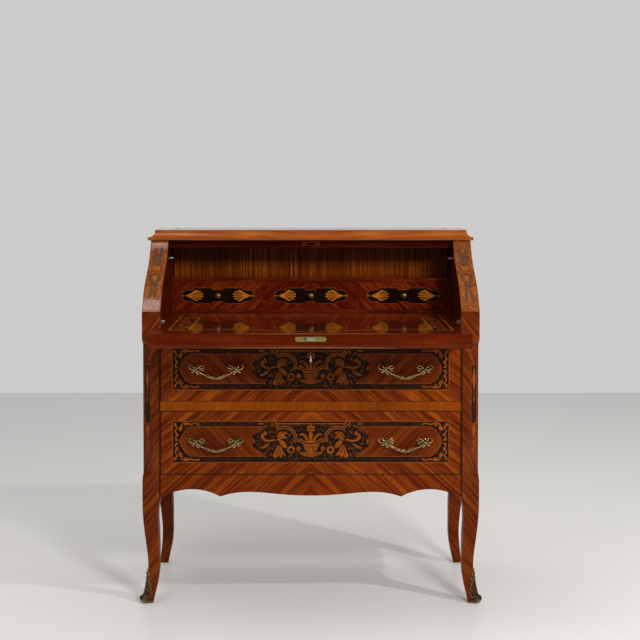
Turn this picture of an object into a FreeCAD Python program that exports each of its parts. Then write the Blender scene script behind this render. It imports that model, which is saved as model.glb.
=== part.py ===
import FreeCAD, Part
import math
import os

# A slant-front writing desk with its fall open, in millimetres.
# X runs to the right, Y to the back and Z up. The origin is on the floor, under the middle
# of the desk and of its open fall.

Vec = FreeCAD.Vector

# Carcass
case_width = 900.0
case_depth = 430.0
leg_height = 286.3
apron_height = 63.4
lower_drawer_height = 167.7
mid_rail_height = 27.3
upper_drawer_height = 158.8
fall_room = 51.5
post_rise = 29.0
gable_height = 180.0
gable_run = 224.0
top_thickness = 29.0
post_size = 49.0
writing_board = 18.0
side_board = 20.0
back_board = 8.0
back_setback = 2.0
case_floor = 12.0
curve_tolerance = 0.15
slope_shares = [(0.0, 0.0), (0.09, 0.135), (0.22, 0.295), (0.42, 0.455),
                (0.64, 0.59), (0.80, 0.72), (0.92, 0.865), (1.0, 1.0)]

# Top moulding: a hollow over a rounded lip
top_overhang = 8.0
hollow_width = 18.0
top_fillet = 5.0
lip_height = 9.0
lip_round = 3.5
moulding_width = 32.0

# Rails
rail_depth = 60.0
fall_rail_back = 92.0
fall_rail_lip = 1.0
inner_rail_height = 22.5
inner_rail_depth = 30.0
back_rail_height = 44.7
back_rail = 18.0

# Posts and cabriole legs
chamfer = 27.0
knee_rise = 20.7
block_height = 71.0
chamfer_stop = 19.0
leg_outer_shares = [(0.0, 0.93), (0.033, 0.80), (0.16, 0.58), (0.262, 0.42),
                    (0.275, 0.31), (0.19, 0.16), (0.085, 0.0)]
leg_inner_shares = [(1.0, 1.0), (0.89, 0.92), (0.84, 0.83), (0.873, 0.66),
                    (0.892, 0.47), (0.895, 0.36), (0.86, 0.26), (0.735, 0.14), (0.55, 0.0)]

# Cast shoes on the front feet
sabot_wall = 1.8
sabot_height = 95.0
sabot_low_edge = 46.0
sabot_dip = 40.0
sabot_waist = 24.0
toe_radius = 8.5
toe_length = 15.0
toe_overlap = 0.6
toe_lift = 0.6

# Aprons
apron_board = 20.0
apron_setback = 1.0
apron_middle_shares = [(-0.603, 0.973), (-0.426, 0.776), (-0.20, 0.875), (0.0, 0.93),
                       (0.20, 0.875), (0.426, 0.776), (0.603, 0.973)]
apron_end_shares = [(0.603, 0.973), (0.70, 0.735), (0.793, 0.661), (0.915, 0.784), (1.0, 1.0)]
side_middle_shares = [(-0.34, 0.94), (0.0, 0.79), (0.34, 0.94)]
side_end_shares = [(0.34, 0.94), (0.62, 0.67), (0.86, 0.76), (1.0, 1.0)]

# Fall
pivot_inset = 26.0
fall_edge = 28.0
fall_side_gap = 1.0
fall_gap = 0.5
heel_reach = 22.0
heel_clearance = 4.5

# Fall ironwork
pivot_radius = 2.5
pivot_play = 0.05
eye_radius = 4.5
eye_length = 8.0
eye_relief = 0.4
arm_length = 46.0
arm_width = 12.0
arm_plate = 2.5
pivot_plate_length = 34.0
pivot_plate_height = 13.0
pivot_plate = 2.0
peg_radius = 4.0
peg_length = 14.0
peg_socket = 12.0
peg_drop = 51.0
seat_gap = 0.3
fall_lock_length = 78.0
fall_lock_height = 14.0
fall_lock_plate = 2.0
fall_lock_case = 56.0
fall_lock_depth = 44.0
fall_lock_body = 10.0
fall_bolt_width = 22.0
fall_bolt_height = 6.0
fall_bolt_length = 26.0
bolt_play = 0.3
strike_length = 50.0
strike_width = 16.0
strike_plate = 2.0
strike_pocket = 12.0
keyhole_radius = 1.9
keyhole_slot = 9.0
keyhole_width = 2.2

# Long drawers
drawer_side_gap = 1.5
drawer_gap = 0.8
drawer_front = 20.0
drawer_board = 12.0
drawer_bottom = 6.0
drawer_bottom_rise = 8.0
drawer_side_drop = 12.0
drawer_back_gap = 12.0
runner_width = 15.0
runner_height = 21.0
dust_board = 8.0
guide_height = 24.0
guide_gap = 0.5

# Drawer lock and key
key_drop = 38.0
lock_width = 56.0
lock_height = 44.0
lock_depth = 14.0
lock_wall = 2.0
key_radius = 1.6
key_stand_off = 14.0
bow_height = 31.0
bow_depth = 24.0
bow_thickness = 3.0
bow_rim = 5.0
bit_height = 8.0
bit_length = 6.0
bit_thickness = 1.6

# Handles
handle_offset = 251.5
handle_level = 81.0
handle_post_x = 52.0
handle_rise = 4.0
handle_sag = 17.0
handle_stand_off = 17.0
bail_radius = 4.0
handle_post_radius = 4.5
leaf_thickness = 6.0
leaf_start = 29.0
leaf_length = 45.0
leaf_height = 30.0
leaf_shares = [(0.0, 0.45), (0.135, 0.30), (0.24, 0.10), (0.40, 0.34), (0.56, 0.30), (0.70, 0.46),
               (0.84, 0.26), (0.95, 0.26), (1.0, 0.10), (0.80, -0.04), (0.60, -0.20), (0.46, -0.26),
               (0.30, -0.36), (0.20, -0.25), (0.12, -0.10), (0.09, 0.18)]
bail_sides = 5

# Pigeonhole unit
unit_depth = 115.0
unit_base = 7.2
unit_end = 6.5
unit_divider = 11.3
small_drawer_height = 78.4
shelf_board = 11.6
striped_board = 6.0
small_front = 10.0
small_side = 6.0
small_bottom = 4.0
small_gap = 0.8
small_seat = 0.3
small_side_drop = 6.0
small_back_gap = 1.5
knob_width = 17.0
knob_length = 19.0
knob_head_length = 10.0
knob_neck = 6.8

# Cuts run past the wood by this much
overrun = 5.0

half_width = case_width / 2
inner_half = half_width - post_size
case_floor_level = leg_height + apron_height
mid_rail_low = case_floor_level + lower_drawer_height
mid_rail_high = mid_rail_low + mid_rail_height
upper_drawer_top = mid_rail_high + upper_drawer_height
writing_level = upper_drawer_top + fall_room
post_top = writing_level + post_rise
under_top = post_top + gable_height
total_height = under_top + top_thickness
chamfer_low = case_floor_level - knee_rise
chamfer_high = post_top - block_height
peg_level = under_top - peg_drop
shelf_low = writing_level + unit_base + small_drawer_height
slope_angle = math.atan2(gable_height, gable_run)
closing_angle = math.pi - slope_angle
along = (math.cos(slope_angle), math.sin(slope_angle))
fall_length = (under_top - writing_level - fall_edge * along[0]) / along[1]
fall_reach = fall_length - pivot_inset
front_y = (fall_reach - case_depth) / 2
board_low = writing_level - writing_board
back_y = case_depth - back_setback - back_board
unit_front = back_y - unit_depth
rear_post = case_depth - post_size


def yz(depth, height, x=0.0):
    """A point at a depth behind the front of the posts."""
    return Vec(x, front_y + depth, height)


def box(x0, x1, d0, d1, z0, z1):
    """A board between two x, two depths behind the front of the posts and two heights."""
    return Part.makeBox(x1 - x0, d1 - d0, z1 - z0, Vec(x0, front_y + d0, z0))


def straight(points):
    """Edges along a list of points."""
    return [Part.makeLine(a, b) for a, b in zip(points, points[1:])]


def curved(points):
    """A smooth run of tangent arcs through a list of points."""
    curve = Part.BSplineCurve()
    curve.interpolate(points)
    return [arc.toShape() for arc in curve.toBiArcs(curve_tolerance)]


def board(edges, direction):
    """A closed outline pushed out along a direction."""
    return Part.Face(Part.Wire(Part.__sortEdges__(edges))).extrude(direction)


def flat(points, direction):
    """A closed outline of straight edges pushed out along a direction."""
    return board(straight(points + [points[0]]), direction)


def mirrored(shape):
    """The same piece on the other side of the desk."""
    return shape.mirror(Vec(0, 0, 0), Vec(1, 0, 0))


def joined(shapes):
    """Several solids fused into one."""
    whole = shapes[0]
    for shape in shapes[1:]:
        whole = whole.fuse(shape)
    return whole.removeSplitter()


def save(name, *shapes):
    """Write one node: one solid, or several that belong together."""
    shape = shapes[0] if len(shapes) == 1 else Part.makeCompound(list(shapes))
    shape.exportStep(os.path.join("parts", name + ".step"))


def slope_points(x):
    """The swept slope of the sides, from the top of the posts to the top board."""
    return [yz(gable_run * run, post_top + gable_height * rise, x) for run, rise in slope_shares]


# Each cheek is a built-up gable as wide as the posts, with the slope as its front edge.
def cheek():
    x = inner_half
    outline = [yz(gable_run, under_top, x), yz(case_depth, under_top, x),
               yz(case_depth, board_low, x), yz(post_size, board_low, x),
               yz(post_size, post_top, x), yz(0, post_top, x)]
    return board(curved(slope_points(x)) + straight(outline), Vec(post_size, 0, 0))


# The top board carries a mitred moulding on its front and its two sides.
def moulding_outline(reach, place):
    """The section of the edge: a fillet, a hollow and a rounded lip, outwards from zero."""
    lip_top = under_top + lip_height
    fillet = total_height - top_fillet
    hollow_in = reach - hollow_width
    turn = math.sqrt(0.5)
    middle = place(reach - hollow_width * turn, fillet - (fillet - lip_top) * turn)
    hollow = Part.Arc(place(hollow_in, fillet), middle, place(reach, lip_top)).toShape()
    low = under_top + lip_round
    inward = reach - lip_round
    bend = Part.Arc(place(reach, low), place(inward + lip_round * turn, low - lip_round * turn),
                    place(inward, under_top)).toShape()
    return [hollow, bend, Part.makeLine(place(reach, lip_top), place(reach, low)),
            Part.makeLine(place(hollow_in, fillet), place(hollow_in, total_height))]


def moulded_top():
    """The whole top with its moulded edge: a section across met by a section along."""
    reach = half_width + top_overhang
    front = gable_run - top_overhang
    across = []
    for side in (-1, 1):
        across += moulding_outline(reach, lambda out, z, side=side: Vec(side * out, front_y, z))
    crown = reach - hollow_width
    sole = reach - lip_round
    across += [Part.makeLine(Vec(-crown, front_y, total_height), Vec(crown, front_y, total_height)),
               Part.makeLine(Vec(-sole, front_y, under_top), Vec(sole, front_y, under_top))]
    length = case_depth - front
    forward = moulding_outline(length, lambda out, z: yz(case_depth - out, z, -reach))
    forward += straight([yz(case_depth - length + hollow_width, total_height, -reach),
                         yz(case_depth, total_height, -reach), yz(case_depth, under_top, -reach),
                         yz(front + lip_round, under_top, -reach)])
    bar = board(across, Vec(0, case_depth, 0))
    return bar.common(board(forward, Vec(2 * reach, 0, 0)))


def top_pieces():
    whole = moulded_top()
    core_half = half_width + top_overhang - moulding_width
    core_front = gable_run - top_overhang + moulding_width
    core = box(-core_half, core_half, core_front, case_depth, under_top, total_height)
    frame = whole.cut(core)
    far = half_width + top_overhang + overrun
    nose = gable_run - top_overhang - overrun
    mitre_back = core_front + case_depth
    spread = core_half + case_depth
    step = moulding_width + overrun
    wedge = flat([yz(nose, under_top - overrun, -far), yz(nose, under_top - overrun, far),
                  yz(nose + step, under_top - overrun, far - step),
                  yz(nose + step, under_top - overrun, step - far)],
                 Vec(0, 0, top_thickness + 2 * overrun))
    front = frame.common(wedge)
    ends = frame.cut(wedge)
    return core, front, sorted(ends.Solids, key=lambda solid: solid.CenterOfMass.x)


# The leg is cut twice from a square post with one pattern, once from the front and once from
# the side, as a cabriole leg is sawn.
def leg_pattern(place, grow, top):
    """Edges of the pattern; place takes an inset from the outer face and a height."""
    outer = [place(post_size * inset - grow, leg_height * rise) for inset, rise in leg_outer_shares]
    inner = [place(post_size * inset + grow, leg_height * rise) for inset, rise in leg_inner_shares]
    edges = curved(outer) + curved(inner)
    edges += straight([outer[-1], inner[-1]])
    edges += straight([outer[0], place(-grow, top), place(post_size + grow, top), inner[0]])
    return edges


def leg(top, grow=0.0):
    """A right-hand front post and leg, up to a height."""
    deep = post_size + 2 * grow
    front_face = leg_pattern(lambda inset, z: Vec(half_width - inset, front_y - grow, z), grow, top)
    from_front = board(front_face, Vec(0, deep, 0))
    from_side = board(leg_pattern(lambda inset, z: yz(inset, z, inner_half - grow), grow, top),
                      Vec(deep, 0, 0))
    return from_front.common(from_side).Solids[0]


def corner(out, across, z):
    """A point measured from the outer front corner of the right post, along its diagonal."""
    turn = math.sqrt(0.5)
    return Vec(half_width - out * turn - across * turn, front_y + out * turn - across * turn, z)


def chamfer_cut():
    """The sunk corner of the post, which runs out in a curved stop at each end."""
    deep = chamfer * math.sqrt(0.5)
    half_stop = chamfer_stop / 2
    wide = post_size
    low = [corner(0, -wide, chamfer_low), corner(deep / 3, -wide, chamfer_low + half_stop),
           corner(deep, -wide, chamfer_low + chamfer_stop)]
    high = [corner(deep, -wide, chamfer_high - chamfer_stop),
            corner(deep / 3, -wide, chamfer_high - half_stop), corner(0, -wide, chamfer_high)]
    edges = curved(low) + curved(high)
    edges += straight([low[-1], high[0]])
    edges += straight([high[-1], corner(-overrun, -wide, chamfer_high),
                       corner(-overrun, -wide, chamfer_low), low[0]])
    return board(edges, corner(0, wide, 0) - corner(0, -wide, 0))


# Each shoe is a thin casting that wraps the foot, highest on its outer corner, with a scroll.
def sabot(foot):
    far = post_size * 2
    turn = math.sqrt(0.5)
    ankle = post_size * leg_outer_shares[-3][0] / turn
    edge = [corner(ankle, -far, sabot_height),
            corner(ankle + sabot_waist / 3, -far, sabot_height - sabot_dip / 2),
            corner(ankle + sabot_waist, -far, sabot_height - sabot_dip)]
    low_edge = corner(far, -far, sabot_low_edge)
    outline = curved(edge) + straight([edge[-1], low_edge, corner(far, -far, 0),
                                       corner(-post_size, -far, 0),
                                       corner(-post_size, -far, sabot_height), edge[0]])
    sleeve = leg(post_top, sabot_wall).common(board(outline, corner(0, far, 0) - corner(0, -far, 0)))
    toe = post_size * leg_outer_shares[-1][0] / turn - toe_overlap
    heel = corner(toe, -toe_length / 2, toe_radius + toe_lift)
    roll = Part.makeCylinder(toe_radius, toe_length, heel, Vec(-turn, -turn, 0))
    return sleeve.fuse(roll).cut(foot).Solids[0]


# The aprons are boards with a scalloped lower edge between the legs.
def apron(half, middle, ends, place, direction):
    def down(share):
        return case_floor_level - apron_height * share

    belly = [place(half * x, down(drop)) for x, drop in middle]
    right = [place(half * x, down(drop)) for x, drop in ends]
    left = [place(-half * x, down(drop)) for x, drop in ends]
    top = [right[-1], place(half, case_floor_level), place(-half, case_floor_level), left[-1]]
    return board(curved(belly) + curved(right) + curved(left) + straight(top), direction)


# The fall is drawn shut, where its outer face continues the slope of the cheeks, and then
# turned down about its pivots.
def shut(distance, thickness, x=0.0):
    """A point of the shut fall: along its inner face from the pivot, and outwards from it."""
    depth = pivot_inset + distance * along[0] - thickness * along[1]
    height = writing_level + distance * along[1] + thickness * along[0]
    return yz(depth, height, x)


def opened(shape):
    """A piece of the shut fall, turned down to its open place."""
    turned = shape.copy()
    turned.rotate(yz(pivot_inset, writing_level), Vec(1, 0, 0), math.degrees(closing_angle))
    return turned


def fall_body():
    half = inner_half - fall_side_gap
    x = -half
    inset = heel_reach * along[0]
    heel = shut(-heel_reach, 0, x)
    slant = (pivot_inset - inset) / (along[0] + along[1])
    tip = yz(0, heel.z + slant * (along[0] - along[1]), x)
    outline = [yz(gable_run, under_top, x), shut(fall_length, fall_edge, x), shut(fall_length, 0, x),
               heel, tip, yz(0, post_top, x)]
    body = board(curved(slope_points(x)) + straight(outline), Vec(2 * half, 0, 0))
    ceiling = under_top - fall_gap
    return body.common(box(-half, half, -case_depth, case_depth, 0, ceiling))


def fall_box(x0, x1, y0, y1, z0, z1):
    """A box in the open fall: y forwards from the pivot, z down from the writing surface."""
    return box(x0, x1, pivot_inset - y1, pivot_inset - y0, writing_level - z1, writing_level - z0)


def across_x(radius, x0, x1, depth, height):
    """A round bar along X."""
    return Part.makeCylinder(radius, x1 - x0, yz(depth, height, x0), Vec(1, 0, 0))


def into_y(radius, d0, d1, x, height):
    """A round bar along Y."""
    return Part.makeCylinder(radius, d1 - d0, yz(d0, height, x), Vec(0, 1, 0))


def pivot_arm():
    """A brass arm let into the fall, with an eye round the pivot."""
    end = inner_half - fall_side_gap
    plate = fall_box(end - arm_width, end, 0, arm_length, 0, arm_plate)
    eye = across_x(eye_radius, end - eye_length, end, pivot_inset, writing_level)
    hole = across_x(pivot_radius + pivot_play, end - eye_length - overrun, end + overrun,
                    pivot_inset, writing_level)
    return joined([plate, eye]).cut(hole)


def arm_seat():
    """The pocket in the fall for one pivot arm."""
    end = inner_half - fall_side_gap
    pocket = fall_box(end - arm_width, end + overrun, 0, arm_length, -overrun, arm_plate)
    round_seat = across_x(eye_radius + eye_relief, end - arm_width, end + overrun, pivot_inset,
                          writing_level)
    return pocket.fuse(round_seat)


def fall_lock():
    """The lock let into the edge of the fall, and the bolt that slides in it."""
    middle = fall_edge / 2
    tall = fall_lock_height / 2
    plate = fall_box(-fall_lock_length / 2, fall_lock_length / 2, fall_length - fall_lock_plate,
                     fall_length, middle - tall, middle + tall)
    body = fall_box(-fall_lock_case / 2, fall_lock_case / 2, fall_length - fall_lock_depth,
                    fall_length - fall_lock_plate, middle - fall_lock_body / 2,
                    middle + fall_lock_body / 2)
    wide = fall_bolt_width / 2
    thick = fall_bolt_height / 2
    way = fall_box(-wide - bolt_play, wide + bolt_play, fall_length - fall_bolt_length - bolt_play,
                   fall_length + overrun, middle - thick - bolt_play, middle + thick + bolt_play)
    bolt = fall_box(-wide, wide, fall_length - fall_bolt_length, fall_length, middle - thick,
                    middle + thick)
    return joined([plate, body]), way, bolt


def strike_seat(depth, margin):
    """A slab in the stop rail, square to the shut fall, at the place of the bolt."""
    middle = fall_edge / 2
    half = strike_length / 2 + margin
    tall = strike_width / 2 + margin
    start = shut(fall_length + fall_gap, middle - tall, -half)
    over = shut(fall_length + fall_gap, middle + tall, -half)
    back = shut(fall_length + fall_gap + depth, middle + tall, -half)
    low = shut(fall_length + fall_gap + depth, middle - tall, -half)
    return flat([start, over, back, low], Vec(2 * half, 0, 0))


def bolt_slot(depth):
    """Room for the thrown bolt in the strike plate and the rail behind it."""
    middle = fall_edge / 2
    half = fall_bolt_width / 2 + 2 * bolt_play
    tall = fall_bolt_height / 2 + 2 * bolt_play
    start = shut(fall_length, middle - tall, -half)
    over = shut(fall_length, middle + tall, -half)
    back = shut(fall_length + depth, middle + tall, -half)
    low = shut(fall_length + depth, middle - tall, -half)
    return flat([start, over, back, low], Vec(2 * half, 0, 0))


# The rail over the upper drawer is hollowed to let the heel of the fall swing down.
def fall_rail():
    x = -inner_half
    low = upper_drawer_top + fall_rail_lip
    reach = pivot_inset + heel_clearance
    ledge = writing_level - (post_top - writing_level + pivot_inset * along[1] / along[0]) * along[0]
    ledge -= 2 * fall_gap
    swell = (ledge - low) / 2

    def behind_heel(height):
        return pivot_inset + (reach + (height - writing_level) * along[1]) / along[0]

    outline = [yz(0, low, x), yz(0, low + swell, x), yz(pivot_inset, ledge, x),
               yz(behind_heel(ledge), ledge, x), yz(behind_heel(board_low), board_low, x),
               yz(fall_rail_back, board_low, x), yz(fall_rail_back, low, x)]
    return flat(outline, Vec(2 * inner_half, 0, 0))


# The writing board is undercut along its front edge, so that it stops the heel of the fall.
def writing_top():
    x = -inner_half
    seam = pivot_inset + heel_reach + fall_gap / math.sqrt(0.5)
    outline = [yz(seam, writing_level, x), yz(back_y, writing_level, x), yz(back_y, board_low, x),
               yz(seam + writing_board, board_low, x)]
    return flat(outline, Vec(2 * inner_half, 0, 0))


# The stop rail hangs under the top behind the shut fall and takes the bolt of its lock.
def stop_rail():
    x = -inner_half
    low = under_top - inner_rail_height
    start = shut(fall_length + fall_gap, 0, x)
    lean = along[1] / along[0]

    def face(height):
        return yz(start.y - front_y - (height - start.z) * lean, height, x)

    back = start.y - front_y + inner_rail_depth
    return flat([face(under_top), yz(back, under_top, x), yz(back, low, x), face(low)],
                Vec(2 * inner_half, 0, 0))


# A long drawer: a thick front, two sides, a back and a bottom let in between them.
def long_drawer(low, high):
    half = inner_half - drawer_side_gap
    side_top = high - drawer_side_drop
    back = back_y - drawer_back_gap
    front = box(-half, half, 0, drawer_front, low, high)
    right = box(half - drawer_board, half, drawer_front, back, low, side_top)
    inner = half - drawer_board
    rear = box(-inner, inner, back - drawer_board, back, low + drawer_bottom_rise, side_top)
    floor = box(-inner, inner, drawer_front, back - drawer_board, low + drawer_bottom_rise,
                low + drawer_bottom_rise + drawer_bottom)
    rear = rear.cut(floor)
    return front, [mirrored(right), right], rear, floor


# A cast handle: two leafy ends on round posts, joined by a drooping bail.
def leaf_plate(side):
    """A cut leaf with lobed edges, each lobe or hollow one arc."""
    face = -handle_stand_off + leaf_thickness / 2
    points = [Vec(side * (leaf_start + leaf_length * x), face, leaf_height * z) for x, z in leaf_shares]
    points.append(points[0])
    edges = []
    for start in range(0, len(points) - 1, 2):
        edges.append(Part.Arc(points[start], points[start + 1], points[start + 2]).toShape())
    return board(edges, Vec(0, -leaf_thickness, 0))


def handle():
    ends = []
    for side in (-1, 1):
        foot = Vec(side * handle_post_x, 0, handle_rise)
        ends.append(Part.makeCylinder(handle_post_radius, handle_stand_off, foot, Vec(0, -1, 0)))
        ends.append(leaf_plate(side))
    stand = -handle_stand_off
    drop = handle_rise + handle_sag
    swing = (handle_post_x ** 2 + drop ** 2) / (2 * drop)
    centre = Vec(0, stand, swing - handle_sag)
    turn = math.atan2(handle_post_x, swing - drop)
    start = Vec(handle_post_x, stand, handle_rise)
    outward = (start - centre).normalize() * bail_radius
    forward = Vec(0, -bail_radius, 0)
    section = []
    for corner_number in range(bail_sides + 1):
        angle = 2 * math.pi * corner_number / bail_sides
        section.append(start + outward * math.cos(angle) + forward * math.sin(angle))
    bail = Part.Face(Part.Wire(straight(section))).revolve(centre, Vec(0, 1, 0), math.degrees(2 * turn))
    return joined(ends + [bail])


def handles(low):
    """The pair on one drawer whose lower edge is at a height."""
    pair = []
    for side in (-1, 1):
        one = handle()
        one.translate(yz(0, low + handle_level, side * handle_offset))
        pair.append(one)
    return pair


def keyhole(d0, d1, height):
    """A round hole with a slot below it, through the front of a drawer."""
    slot = box(-keyhole_width / 2, keyhole_width / 2, d0, d1, height - keyhole_slot, height)
    return into_y(keyhole_radius, d0, d1, 0, height).fuse(slot)


def drawer_lock(height):
    """A lock case behind the drawer front, hollow where the key's bit turns."""
    top = height + key_drop - drawer_side_drop
    case = box(-lock_width / 2, lock_width / 2, drawer_front, drawer_front + lock_depth,
               top - lock_height, top)
    room = into_y(bit_height + lock_wall, drawer_front + lock_wall,
                  drawer_front + lock_depth - lock_wall, 0, height)
    way = keyhole(drawer_front - overrun, drawer_front + lock_wall + overrun / 2, height)
    return case.cut(room).cut(way)


def bow_loop(radius, height):
    """An upright oval slab of two half rounds joined by straight sides."""
    middle = -key_stand_off - bow_depth / 2
    shift = (bow_height - bow_depth) / 2
    slab = box(-bow_thickness / 2, bow_thickness / 2, middle - radius, middle + radius,
               height - shift, height + shift)
    ends = [across_x(radius, -bow_thickness / 2, bow_thickness / 2, middle, height + side * shift)
            for side in (-1, 1)]
    return joined([slab] + ends)


def key(height):
    """The key, its bow standing on edge in front of the drawer."""
    tip = drawer_front + lock_depth - 2 * lock_wall
    shaft = into_y(key_radius, -key_stand_off - bow_rim / 2, tip, 0, height)
    bit = box(-bit_thickness / 2, bit_thickness / 2, tip - bit_length, tip, height - bit_height, height)
    ring = bow_loop(bow_depth / 2, height).cut(bow_loop(bow_depth / 2 - bow_rim, height))
    return joined([shaft, bit, ring])


# The drawer unit stands on the writing board at the back: a base, two ends, two dividers and
# a shelf, with three small drawers.
def small_drawer(x0, x1):
    low = writing_level + unit_base + small_seat
    high = shelf_low - small_gap
    left = x0 + small_gap
    right = x1 - small_gap
    back = back_y - small_back_gap
    side_top = high - small_side_drop
    behind = unit_front + small_front
    front = box(left, right, unit_front, behind, low, high)
    floor_top = low + small_bottom
    boards = [box(left, left + small_side, behind, back, low, side_top),
              box(right - small_side, right, behind, back, low, side_top),
              box(left + small_side, right - small_side, back - small_side, back, floor_top, side_top),
              box(left + small_side, right - small_side, behind, back, low, floor_top)]
    return front, boards


def knob(x):
    """A turned brass knob: a neck and a round head."""
    height = (writing_level + unit_base + shelf_low) / 2
    neck = into_y(knob_neck / 2, unit_front - knob_length, unit_front, x, height)
    head = into_y(knob_width / 2, unit_front - knob_length,
                  unit_front - knob_length + knob_head_length, x, height)
    return joined([neck, head])


os.makedirs("parts", exist_ok=True)

# Top
top_core, front_strip, end_strips = top_pieces()
save("top_board", top_core)
save("top_moulding", front_strip, *end_strips)

# Cheeks, with sockets for the pegs that stop the fall
peg_depth = pivot_inset + (peg_level - writing_level) * along[0] / along[1]
peg_depth += (peg_radius + seat_gap) / along[1]
pegs = across_x(peg_radius, inner_half - peg_length, inner_half + peg_socket, peg_depth, peg_level)
right_cheek = cheek().cut(pegs)
save("right_cheek", right_cheek)
save("left_cheek", mirrored(right_cheek))
save("fall_stop_pegs", mirrored(pegs), pegs)

# Posts and legs; the front ones carry the plates with the fall's pivot pins
plate_end = inner_half + pivot_plate
pin_plate = box(inner_half, plate_end, pivot_inset - pivot_plate_length / 2,
                pivot_inset + pivot_plate_length / 2 - overrun,
                writing_level - pivot_plate_height / 2, writing_level + pivot_plate_height / 2)
front_leg = leg(post_top).cut(chamfer_cut()).Solids[0]
pin = across_x(pivot_radius, inner_half - fall_side_gap - eye_length, plate_end, pivot_inset,
               writing_level)
front_post = front_leg.cut(pin_plate)
save("right_front_leg", front_post)
save("left_front_leg", mirrored(front_post))
pin_piece = joined([pin_plate, pin])
save("fall_pivot_pins", mirrored(pin_piece), pin_piece)
rear_leg = leg(board_low)
rear_leg = rear_leg.mirror(yz(case_depth / 2, 0), Vec(0, 1, 0))
save("right_rear_leg", rear_leg)
save("left_rear_leg", mirrored(rear_leg))
shoe = sabot(front_leg)
save("right_sabot", shoe)
save("left_sabot", mirrored(shoe))

# Sides, back and aprons
side = box(half_width - side_board, half_width, post_size, rear_post, case_floor_level,
           board_low)
save("right_side_panel", side)
save("left_side_panel", mirrored(side))
save("back_panel", box(-inner_half, inner_half, back_y, back_y + back_board, case_floor_level,
                       under_top))
save("front_apron", apron(inner_half, apron_middle_shares, apron_end_shares,
                          lambda x, z: yz(apron_setback, z, x), Vec(0, apron_board, 0)))
middle_depth = case_depth / 2
side_apron = apron(middle_depth - post_size, side_middle_shares, side_end_shares,
                   lambda x, z: yz(middle_depth + x, z, half_width - apron_board),
                   Vec(apron_board, 0, 0))
save("right_apron", side_apron)
save("left_apron", mirrored(side_apron))
rail_back = back_y + back_board
save("back_rail", box(-inner_half, inner_half, rail_back - back_rail, rail_back,
                      case_floor_level - back_rail_height, case_floor_level))

# Rails and boards inside the case
save("mid_rail", box(-inner_half, inner_half, 0, rail_depth, mid_rail_low, mid_rail_high))
save("fall_rail", fall_rail())
strike_cut = strike_seat(strike_plate, 0)
slot = bolt_slot(strike_pocket)
save("stop_rail", stop_rail().cut(strike_cut).cut(slot))
save("fall_strike_plate", strike_cut.cut(slot))
save("writing_board", writing_top())
floor_half = half_width - side_board
floor_board = box(-floor_half, floor_half, apron_setback + apron_board, rail_back - back_rail,
                  case_floor_level - case_floor, case_floor_level)
for end in (0, rear_post):
    for near in (-half_width, inner_half):
        floor_board = floor_board.cut(box(near, near + post_size, end, end + post_size, 0, post_top))
save("bottom_board", floor_board)
runner_inner = inner_half - runner_width
dust_low = mid_rail_high - runner_height
save("dust_board", box(-runner_inner, runner_inner, rail_depth, back_y, dust_low,
                       dust_low + dust_board))
runner = box(runner_inner, floor_half, rail_depth, rear_post, dust_low, mid_rail_high)
save("drawer_runners", mirrored(runner), runner)
guides = []
for low, near in ((case_floor_level, post_size), (mid_rail_high, rail_depth)):
    guide = box(inner_half + guide_gap, floor_half, near, rear_post, low, low + guide_height)
    guides += [mirrored(guide), guide]
save("drawer_guides", *guides)

# Drawer unit
unit_low = writing_level + unit_base
unit_half = inner_half - unit_end
save("unit_base", box(-inner_half, inner_half, unit_front, back_y, writing_level, unit_low))
unit_side = box(unit_half, inner_half, unit_front, back_y, unit_low, shelf_low)
save("unit_ends", mirrored(unit_side), unit_side)
bay = (2 * unit_half - 2 * unit_divider) / 3
divider = box(bay / 2, bay / 2 + unit_divider, unit_front, back_y, unit_low, shelf_low)
save("unit_dividers", mirrored(divider), divider)
shelf_high = shelf_low + shelf_board
save("unit_shelf", box(-inner_half, inner_half, unit_front, back_y, shelf_low, shelf_high))
save("compartment_back", box(-inner_half, inner_half, back_y - striped_board, back_y, shelf_high,
                             under_top))
for place, name in ((-1, "left"), (0, "middle"), (1, "right")):
    middle = place * (bay + unit_divider)
    small, boards = small_drawer(middle - bay / 2, middle + bay / 2)
    save("small_drawer_front_" + name, small)
    save("small_drawer_box_" + name, *boards)
    save("small_drawer_knob_" + name, knob(middle))

# Fall with its lock and pivot arms
fall = opened(fall_body())
lock, way, bolt = fall_lock()
key_seat = Part.makeCylinder(keyhole_radius, post_size,
                             yz(pivot_inset - fall_length + fall_lock_depth - keyhole_slot,
                                writing_level - fall_edge / 2), Vec(0, 0, -1))
fall = fall.cut(lock).cut(way).cut(arm_seat()).cut(mirrored(arm_seat())).cut(key_seat)
save("fall_panel", fall)
save("fall_lock", lock.cut(way).cut(key_seat))
save("fall_lock_bolt", bolt)
arm = pivot_arm()
save("fall_pivot_arms", mirrored(arm), arm)

# Long drawers
key_height = upper_drawer_top - key_drop
for name, low, high in (("lower", case_floor_level + seat_gap, mid_rail_low - drawer_gap),
                        ("upper", mid_rail_high + seat_gap, upper_drawer_top)):
    front, sides, rear, floor = long_drawer(low, high)
    if name == "upper":
        front = front.cut(keyhole(-overrun, drawer_front + overrun, key_height))
    save(name + "_drawer_front", front)
    save(name + "_drawer_sides", *sides)
    save(name + "_drawer_back", rear)
    save(name + "_drawer_bottom", floor)
    save(name + "_drawer_handles", *handles(low - seat_gap))
save("drawer_lock", drawer_lock(key_height))
save("drawer_key", key(key_height))
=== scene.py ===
import math

import bmesh
import bpy
from mathutils import Matrix, Vector
from mathutils.bvhtree import BVHTree


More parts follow.
